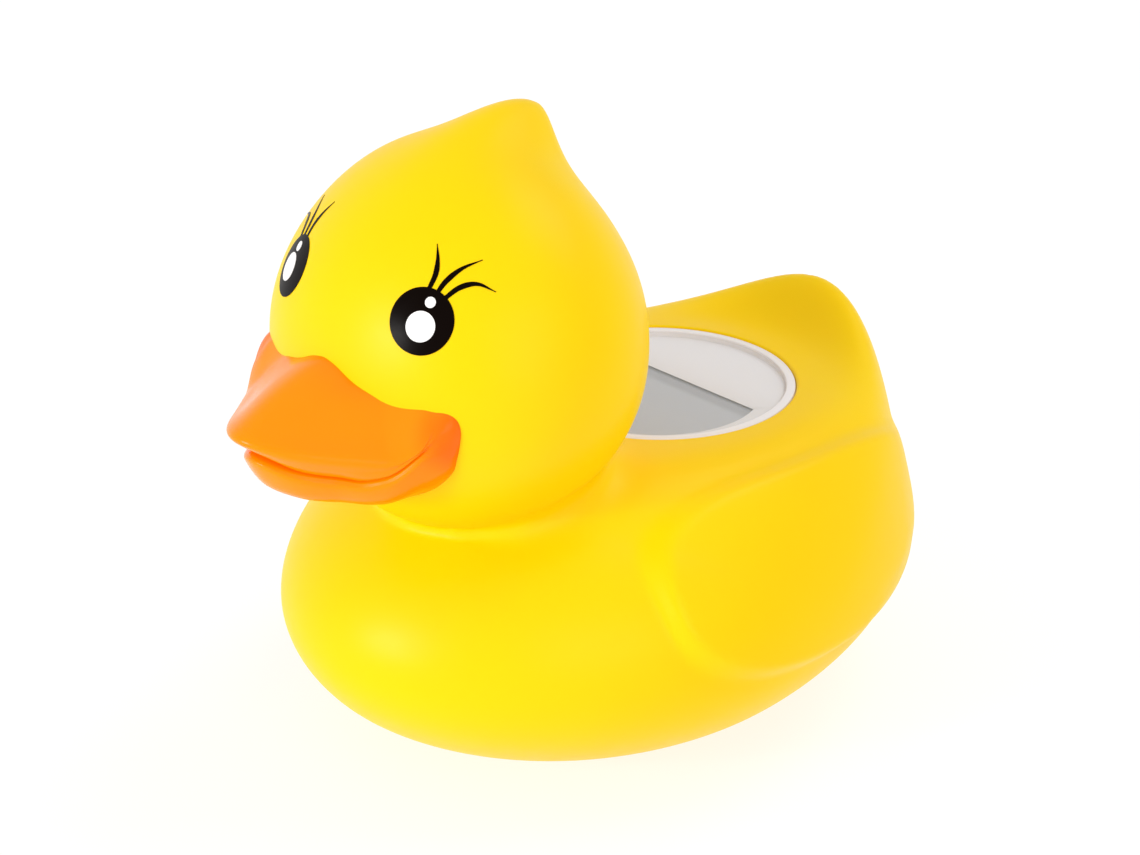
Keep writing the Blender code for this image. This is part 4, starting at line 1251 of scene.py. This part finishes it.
@dataclass
class EyePrints:
    """The printed eyes: a black disc with two white spots and three lashes on each side."""

    head: HeadForm
    centre: Triple = (15.1 * MM, -43.65 * MM, 84.7 * MM)
    radius: float = 5.05 * MM
    film: float = 0.07 * MM
    sunk: float = 0.2 * MM
    disc_lattice: tuple[int, int] = (14, 96)
    disc_core: float = 0.05
    lash_lattice: tuple[int, int] = (60, 5)
    aim_steps: int = 40
    aim_damping: float = 0.6
    lay_steps: int = 12
    lay_radius: float = 30 * MM
    normal_step: float = 0.01
    spot: Triple = (0.03 * MM, -0.82 * MM, 2.3 * MM)
    far_spot: Triple = (0.9 * MM, -0.65 * MM, 2.3 * MM)
    small_spot: Triple = (0.96 * MM, 2.88 * MM, 0.83 * MM)
    lash_width: float = 0.73 * MM
    lash_taper: float = 0.55
    lash_tip: float = 0.1
    lash_bluntness: float = 0.7
    lash_swelling: Pair = (0.85, 0.3)
    lashes: tuple[tuple[Pair, ...], ...] = (
        ((0.25, 4.6), (0.82, 7.04), (0.63, 9.26), (-0.08, 11.6)),
        ((1.55, 4.1), (2.63, 6.29), (4.47, 8.44), (7.1, 10.2)),
        ((2.75, 3.5), (4.80, 5.63), (7.21, 6.55), (10.0, 5.83)),
    )

    def frame_at(self, side: float) -> tuple[np.ndarray, np.ndarray, np.ndarray]:
        """Find the direction of an eye and its tangent frame.

        Args:
            side: 1 for the duck's left eye, -1 for its right.

        Returns:
            Its direction, and its outward and upward vectors.
        """
        target = np.array(self.centre) * np.array([side, 1.0, 1.0])
        middle = np.array([0.0, self.head.y, self.head.z])
        direction = target - middle
        direction /= np.linalg.norm(direction)
        for _ in range(self.aim_steps):
            miss = target - self.head(direction[None])[0]
            direction = direction + self.aim_damping * miss / self.head.half_height
            direction /= np.linalg.norm(direction)
        normal = self.normals(direction[None])[0]
        across = side * np.cross([0.0, 0.0, 1.0], normal)
        across /= np.linalg.norm(across)
        up = np.cross(normal, across) * side
        return direction, across, up

    def normals(self, directions: np.ndarray) -> np.ndarray:
        """Normals of the head: the cross product of two small steps over its form.

        Args:
            directions: Unit directions, one a row.

        Returns:
            One outward unit normal for each direction.
        """
        helper = np.cross(directions, [0.0, 1.0, 0.0])
        helper /= np.linalg.norm(helper, axis=1)[:, None]
        second = np.cross(directions, helper)
        steps = []
        for way in (helper, second):
            ahead = directions + self.normal_step * way
            behind = directions - self.normal_step * way
            ahead /= np.linalg.norm(ahead, axis=1)[:, None]
            behind /= np.linalg.norm(behind, axis=1)[:, None]
            steps.append(self.head(ahead) - self.head(behind))
        normal = np.cross(steps[0], steps[1])
        normal /= np.linalg.norm(normal, axis=1)[:, None]
        return normal * np.sign((normal * directions).sum(1))[:, None]

    def on_head(self, flat: np.ndarray, side: float) -> tuple[np.ndarray, np.ndarray]:
        """Lay flat points on the head, with Newton steps on their directions.

        Args:
            flat: Offsets outward and upward in the eye's tangent plane.
            side: 1 or -1 for the eye.

        Returns:
            The points on the head and their normals.
        """
        direction, across, up = self.frame_at(side)
        base = self.head(direction[None])[0]
        directions = np.repeat(direction[None], len(flat), axis=0)
        for _ in range(self.lay_steps):
            offset = self.head(directions) - base
            miss = flat - np.stack([offset @ across, offset @ up], 1)
            directions = directions + (miss[:, :1] * across + miss[:, 1:] * up) / self.lay_radius
            directions /= np.linalg.norm(directions, axis=1)[:, None]
        return self.head(directions), self.normals(directions)

    def film_over(self, flat: np.ndarray, rows: int, columns: int, side: float,
                  lift: float) -> Surface:
        """Make a thin closed film over flat rings that run from the middle outwards.

        The upper face lies at the film's height above the head and the lower face inside it,
        and both run to the same outline.

        Args:
            flat: Rings of offsets, the first one round the middle, the last the outline.
            rows: Number of rings.
            columns: Points in each ring.
            side: 1 or -1 for the eye.
            lift: Height of the film above the head.

        Returns:
            The closed surface.
        """
        points, normals = self.on_head(flat, side)
        grid = points.reshape(rows, columns, 3)
        normal = normals.reshape(rows, columns, 3)
        upper = grid + lift * normal
        lower = grid[::-1] - self.sunk * normal[::-1]
        lattice = np.concatenate([upper, lower]).reshape(-1, 3)
        poles = np.stack([upper[0].mean(0), lower[-1].mean(0)])
        return Surface.from_lattice(np.concatenate([lattice, poles]), 2 * rows, columns,
                                    Region.BOTH_ENDS)

    def disc(self, centre: Pair, radius: float, side: float, lift: float) -> Surface:
        """Print a round spot: rings r (cos a, sin a) about its centre.

        Args:
            centre: Its middle, outward and upward from the eye's middle.
            radius: Its radius.
            side: 1 or -1 for the eye.
            lift: Height of the film above the head.

        Returns:
            The closed film.
        """
        rows, columns = self.disc_lattice
        reach = np.linspace(self.disc_core, 1.0, rows)[:, None] * radius
        angle = np.linspace(0, 2 * math.pi, columns, endpoint=False)
        flat = np.stack([centre[0] + reach * np.cos(angle), centre[1] + reach * np.sin(angle)], -1)
        return self.film_over(flat.reshape(-1, 2), rows, columns, side, lift)

    def lash(self, points: tuple[Pair, ...], side: float, lift: float) -> Surface:
        """Print a lash: a curve through four points, its width falling to a point at the tip.

        The half width goes as ((1 - t) / taper)^bluntness, a little fuller in the middle.

        Args:
            points: The curve's points in millimetres, from the eye outwards.
            side: 1 or -1 for the eye.
            lift: Height of the film above the head.

        Returns:
            The closed film.
        """
        rows, columns = self.lash_lattice
        stations = np.repeat((np.array(points) * MM)[:, :, None], rows, axis=2)
        t = np.linspace(0, 1, rows)
        middle = curve_through(stations, t)
        along = np.gradient(middle, axis=0)
        along /= np.linalg.norm(along, axis=1)[:, None]
        across = np.stack([-along[:, 1], along[:, 0]], 1)
        taper = np.clip((1 - t) / self.lash_taper, self.lash_tip, 1.0) ** self.lash_bluntness
        plain, fuller = self.lash_swelling
        half = 0.5 * self.lash_width * taper * (plain + fuller * np.sin(math.pi * t))
        strip = np.linspace(-1, 1, columns)[None, :, None]
        flat = middle[:, None] + strip * (half[:, None] * across)[:, None]
        spots, normals = self.on_head(flat.reshape(-1, 2), side)
        upper = (spots + lift * normals).reshape(rows, columns, 3)
        lower = (spots - self.sunk * normals).reshape(rows, columns, 3)
        ring = np.concatenate([upper, lower[:, ::-1]], axis=1)
        poles = np.stack([ring[0].mean(0), ring[-1].mean(0)])
        return Surface.from_lattice(np.concatenate([ring.reshape(-1, 3), poles]), rows,
                                    2 * columns, Region.BOTH_ENDS)

    def build(self) -> None:
        """Print both eyes."""
        for name, side in (("left", 1.0), ("right", -1.0)):
            black = self.disc((0.0, 0.0), self.radius, side, self.film)
            for points in self.lashes:
                black = black + self.lash(points, side, self.film)
            show(black, f"eye_{name}", BLACK_INK, ("duck_shell",))
            large = self.spot if side > 0 else self.far_spot
            white = (self.disc(large[:2], large[2], side, 2 * self.film)
                     + self.disc(self.small_spot[:2], self.small_spot[2], side, 2 * self.film))
            show(white, f"eye_spots_{name}", WHITE_INK, ("duck_shell",))


# The display module


@dataclass(frozen=True)
class Window:
    """The outline of the window: a circle with a straight front and rear edge."""

    radius: float
    front: float
    rear: float
    steps: int = 160

    def grown(self, by: float) -> "Window":
        """Move every edge outwards."""
        return Window(self.radius + by, self.front + by, self.rear + by)

    def angles(self) -> np.ndarray:
        """Angles round the window, with one exactly at each corner, asin(edge / radius).

        Returns:
            The angles in radians, in order.
        """
        rear = math.asin(self.rear / self.radius)
        front = math.asin(self.front / self.radius)
        corners = sorted([rear, math.pi - rear, math.pi + front, 2 * math.pi - front])
        spans = zip(corners, corners[1:] + [corners[0] + 2 * math.pi])
        return np.concatenate([np.linspace(a, b, max(2, int(self.steps * (b - a) / 6.28)),
                                           endpoint=False) for a, b in spans])

    def reach(self, angle: np.ndarray) -> np.ndarray:
        """Distance to the edge: the least of the circle and the two straight sides.

        Args:
            angle: Angles in radians.

        Returns:
            One distance for each angle.
        """
        sine, least = np.sin(angle), 1e-9
        to_rear = np.where(sine > least, self.rear / np.maximum(sine, least), 1.0)
        to_front = np.where(sine < -least, self.front / np.maximum(-sine, least), 1.0)
        return np.minimum(self.radius, np.minimum(to_rear, to_front))


@dataclass
class DisplayFace:
    """The white display cover with its bevelled window, the clear lens and the panel."""

    y: float = 19.4 * MM
    top: float = 51.4 * MM
    rim_radius: float = 23.05 * MM
    rim_z: float = 48.05 * MM
    rim_width: float = 1.9 * MM
    chamfer: float = 0.35 * MM
    chamfer_share: float = 0.3
    seat_chamfer: float = 0.15 * MM
    gap: float = 0.3 * MM
    lens_thickness: float = 0.8 * MM
    lens_chamfer: float = 0.12 * MM
    floor: float = 0.8 * MM
    skirt_radius: float = 18.9 * MM
    skirt_wall: float = 0.75 * MM
    skirt_z: float = 46.15 * MM
    window: Window = Window(17.3 * MM, 15.2 * MM, 6.6 * MM)
    window_bevel: float = 2.3 * MM
    panel_margin: float = 0.5 * MM
    panel_thickness: float = 2.85 * MM
    panel_middle: float = 0.4

    def cover(self) -> Surface:
        """The cover: a section carried round, from its round rim to the edge of its window.

        Each angle's section runs down the bevel of the window, under the floor, round the
        skirt and the rim, and back over the lens seat. The rims are circles, while the
        window's two edges are its outline.

        Returns:
            The closed ring.
        """
        seat_z = self.top - self.lens_thickness - self.gap
        floor_z = seat_z - self.floor
        angle = self.window.angles()
        one = np.ones_like(angle)
        recess = self.rim_radius - self.rim_width + self.gap
        inner = self.skirt_radius - self.skirt_wall
        edge, step = self.chamfer, self.seat_chamfer
        near = self.chamfer_share * edge
        section = [(self.window.grown(self.window_bevel).reach(angle), seat_z),
                   (self.window.reach(angle), floor_z), (inner, floor_z),
                   (inner, self.skirt_z), (self.skirt_radius, self.skirt_z),
                   (self.skirt_radius, self.rim_z), (self.rim_radius, self.rim_z),
                   (self.rim_radius, self.top - edge),
                   (self.rim_radius - near, self.top - near),
                   (self.rim_radius - edge, self.top), (recess + step, self.top),
                   (recess, self.top - step), (recess, seat_z)]
        rings = [np.stack([reach * np.cos(angle), self.y + reach * np.sin(angle), z * one], 1)
                 for reach, z in section]
        return Surface.from_lattice(np.concatenate(rings), len(rings), len(angle),
                                    Region.NONE, wrap_rows=True)

    def panel(self) -> Surface:
        """The display panel: its outline carried from face to face, with both faces closed.

        Returns:
            The closed panel.
        """
        outline = self.window.grown(self.panel_margin)
        top = self.top - self.lens_thickness - self.floor - 2 * self.gap
        low = top - self.panel_thickness
        angle = outline.angles()
        reach = outline.reach(angle)
        rings = [np.stack([share * reach * np.cos(angle), self.y + share * reach * np.sin(angle),
                           np.full_like(angle, z)], 1)
                 for share, z in ((self.panel_middle, top), (1.0, top), (1.0, low),
                                  (self.panel_middle, low))]
        poles = [[0.0, self.y, top], [0.0, self.y, low]]
        return Surface.from_lattice(np.concatenate([*rings, poles]), len(rings), len(angle),
                                    Region.BOTH_ENDS)

    def lens(self) -> Surface:
        """The clear lens, a turned disc with small chamfers.

        Returns:
            The closed disc.
        """
        radius = self.rim_radius - self.rim_width
        edge = self.lens_chamfer
        low = self.top - self.lens_thickness
        return Surface.turned([(0.0, self.top), (radius - edge, self.top),
                               (radius, self.top - edge), (radius, low + edge),
                               (radius - edge, low), (0.0, low)], y=self.y, steps=160)

    def build(self) -> None:
        """Build the cover, the lens and the panel."""
        show(self.cover(), "display_cover", WHITE_ABS, ("display_bezel",))
        show(self.lens(), "clear_window", CLEAR_LENS, ("display_lens",))
        show(self.panel(), "blank_display", LCD_GLASS, ("lcd_panel",))


@dataclass
class ProbeNose:
    """The steel probe cap and the two water contacts in the nose under the belly."""

    y: float = 6.8 * MM
    tip_z: float = 0.7 * MM
    cap_radius: float = 1.8 * MM
    cap_wall: float = 0.4 * MM
    cap_length: float = 7.0 * MM
    cap_rounding: float = 1.0 * MM
    bore_rounding: float = 0.6 * MM
    pin_radius: float = 0.9 * MM
    pin_length: float = 6.4 * MM
    pin_rounding: float = 0.45 * MM
    pin_spacing: float = 7.6 * MM

    @staticmethod
    def rounded_end(radius: float, rounding: float, tip_z: float) -> Profile:
        """Profile of a rounded lower end, from its side to its axis: a quarter circle.

        Args:
            radius: Radius of the side.
            rounding: Radius of the quarter circle.
            tip_z: Height of the tip.

        Returns:
            Radius and height of each point.
        """
        angle = np.linspace(0.0, math.pi / 2, 12)
        out = radius - rounding * (1 - np.cos(angle))
        height = tip_z + rounding * (1 - np.sin(angle))
        return list(zip(out.tolist(), height.tolist())) + [(0.0, tip_z)]

    def cap(self) -> Surface:
        """The drawn steel cap: its bore, its rim and its rounded tip.

        Returns:
            The closed cap.
        """
        top = self.tip_z + self.cap_length
        bore = self.cap_radius - self.cap_wall
        inside = self.rounded_end(bore, self.bore_rounding, self.tip_z + self.cap_wall)
        return Surface.turned([*inside[::-1], (bore, top), (self.cap_radius, top),
                               *self.rounded_end(self.cap_radius, self.cap_rounding,
                                                 self.tip_z)], y=self.y, steps=96)

    def pin(self, side: float) -> Surface:
        """A contact pin, with a flat head inside and a rounded tip outside.

        Args:
            side: 1 or -1 for its side of the cap.

        Returns:
            The closed pin.
        """
        top = self.tip_z + self.pin_length
        return Surface.turned([(0.0, top), (self.pin_radius, top),
                               *self.rounded_end(self.pin_radius, self.pin_rounding,
                                                 self.tip_z)],
                              x=side * self.pin_spacing / 2, y=self.y, steps=64)

    def build(self) -> None:
        """Build the cap and the pins."""
        show(self.cap(), "steel_cap", STEEL, ("probe_cap",))
        for index, side in enumerate((-1.0, 1.0), start=1):
            show(self.pin(side), f"steel_pin_{index}", STEEL,
                 (f"water_contact_{index}",))


# The studio


@dataclass(frozen=True)
class SoftLamp:
    """A square soft lamp: where it hangs, its side in metres and its power in watts."""

    name: str
    place: Triple
    size: float
    power: float

    def hang(self, target: Triple) -> None:
        """Hang the lamp so that it faces a target.

        Args:
            target: The place that it faces.
        """
        data = bpy.data.lights.new(self.name, "AREA")
        data.size = self.size
        data.energy = self.power
        item = bpy.data.objects.new(self.name, data)
        item.location = self.place
        away = Vector(target) - Vector(self.place)
        item.rotation_euler = away.to_track_quat("-Z", "Y").to_euler()
        bpy.context.scene.collection.objects.link(item)


@dataclass
class Studio:
    """Camera, soft light and a plain pale floor."""

    camera_place: Triple = (346.51 * MM, -320.36 * MM, 265.25 * MM)
    azimuth: float = 47.255
    elevation: float = 24.625
    lens: float = 101.08
    middle: Triple = (0.0, 0.0, 0.05)
    lamps: tuple[SoftLamp, ...] = (
        SoftLamp("key", (-0.2, -1.1, 0.3), 0.35, 5.6),
        SoftLamp("spark", (-0.15, -1.1, 0.38), 0.07, 1.2),
        SoftLamp("fill", (0.95, -0.4, 0.45), 0.7, 2.5),
        SoftLamp("top", (0.25, 0.5, 1.0), 0.6, 3.5),
    )
    sky: float = 0.6
    floor_size: float = 3.0
    floor_z: float = -0.02 * MM
    floor_grey: float = 0.3
    floor_glow: float = 0.75

    def camera(self) -> None:
        """Stand the camera where the photo was taken from, level, without shift."""
        turn, rise = math.radians(self.azimuth), math.radians(self.elevation)
        right = Vector((math.cos(turn), math.sin(turn), 0.0))
        back = Vector((math.sin(turn) * math.cos(rise), -math.cos(turn) * math.cos(rise),
                       math.sin(rise)))
        up = back.cross(right)
        data = bpy.data.cameras.new("camera")
        data.sensor_width = 36.0
        data.lens = self.lens
        data.clip_start = 0.01
        item = bpy.data.objects.new("camera", data)
        item.matrix_world = Matrix.Translation(self.camera_place) @ Matrix(
            (right, up, back)).transposed().to_4x4()
        bpy.context.scene.collection.objects.link(item)
        bpy.context.scene.camera = item

    def world(self) -> None:
        """Light evenly all round, with white behind for the camera, glass and metal."""
        world = bpy.data.worlds.new("sky")
        world.use_nodes = True
        tree = world.node_tree
        soft = tree.nodes["Background"]
        connect(tree, soft, {"Color": (1, 1, 1, 1), "Strength": self.sky})
        white = add_node(tree, "ShaderNodeBackground", {"Color": (1, 1, 1, 1), "Strength": 1.0})
        mix = add_node(tree, "ShaderNodeMixShader", {
            "Fac": self.seen_directly(tree), 1: soft.outputs[0], 2: white.outputs[0]})
        connect(tree, tree.nodes["World Output"], {"Surface": mix.outputs[0]})
        bpy.context.scene.world = world

    @staticmethod
    def seen_directly(tree: bpy.types.NodeTree) -> Socket:
        """1 for rays from the camera, in reflections and through glass.

        Args:
            tree: The world's node tree.

        Returns:
            The greatest of the three rays' outputs.
        """
        path = add_node(tree, "ShaderNodeLightPath", {})
        seen = path.outputs["Is Camera Ray"]
        for ray in ("Is Glossy Ray", "Is Transmission Ray"):
            seen = add_node(tree, "ShaderNodeMath", {0: seen, 1: path.outputs[ray]},
                            operation="MAXIMUM").outputs[0]
        return seen

    def floor(self) -> None:
        """Lay a white floor that keeps the duck's shadow."""
        half = self.floor_size / 2
        mesh = bpy.data.meshes.new("floor")
        corners = [(-half, -half), (half, -half), (half, half), (-half, half)]
        mesh.from_pydata([(x, y, self.floor_z) for x, y in corners], [], [(0, 1, 2, 3)])
        material = bpy.data.materials.new("studio_floor")
        material.use_nodes = True
        tree = material.node_tree
        matt = tree.nodes["Principled BSDF"]
        connect(tree, matt, {"Base Color": (*[self.floor_grey] * 3, 1), "Roughness": 0.9,
                             "Specular IOR Level": 0.0})
        glow = add_node(tree, "ShaderNodeEmission", {"Strength": self.floor_glow})
        both = add_node(tree, "ShaderNodeAddShader", {0: matt.outputs[0], 1: glow.outputs[0]})
        connect(tree, tree.nodes["Material Output"], {"Surface": both.outputs[0]})
        mesh.materials.append(material)
        item = bpy.data.objects.new("floor", mesh)
        bpy.context.scene.collection.objects.link(item)

    def build(self) -> None:
        """Set up the whole studio."""
        self.camera()
        self.world()
        self.floor()
        for lamp in self.lamps:
            lamp.hang(self.middle)
        bpy.context.scene.view_settings.view_transform = "Standard"


CARRIED: tuple[tuple[MouldedFinish, tuple[str, ...]], ...] = (
    (SEAL_RUBBER, ("bezel_seal", "cover_seal", "display_connector_1", "display_connector_2")),
    (BOARD_MASK, ("circuit_board",)),
    (EPOXY, ("controller_chip", "thermistor")),
    (STEEL, ("board_screw_1", "board_screw_2", "board_screw_3", "board_screw_4",
             "battery_cell", "cover_screw_1", "cover_screw_2")),
    (WHITE_ABS, ("module_housing", "battery_cover")),
    (BRONZE, ("battery_contact_upper", "battery_contact_lower")),
    (RED_SLEEVE, ("sensor_lead_1", "sensor_lead_2", "battery_lead_lower")),
    (BLACK_SLEEVE, ("contact_lead_1", "contact_lead_2", "battery_lead_upper")),
)


def dress_carried() -> None:
    """Give each CAD node that stays in view its finish."""
    for finish, names in CARRIED:
        for name in names:
            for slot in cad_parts[name].material_slots:
                slot.material = WARDROBE.get(finish)
            LOG.info("%s: dressed", name)


def plain(box: tuple[Vector, Vector]) -> list[list[float]]:
    """Turn a box into plain lists of numbers."""
    return [[float(value) for value in corner] for corner in box]


def main() -> None:
    """Build every piece and report it."""
    logging.basicConfig(level=logging.INFO, format="%(message)s")
    duck = Duck()
    duck.build()
    EyePrints(duck.head).build()
    DisplayFace().build()
    ProbeNose().build()
    dress_carried()
    Studio().build()


if __name__ == "__main__":
    main()
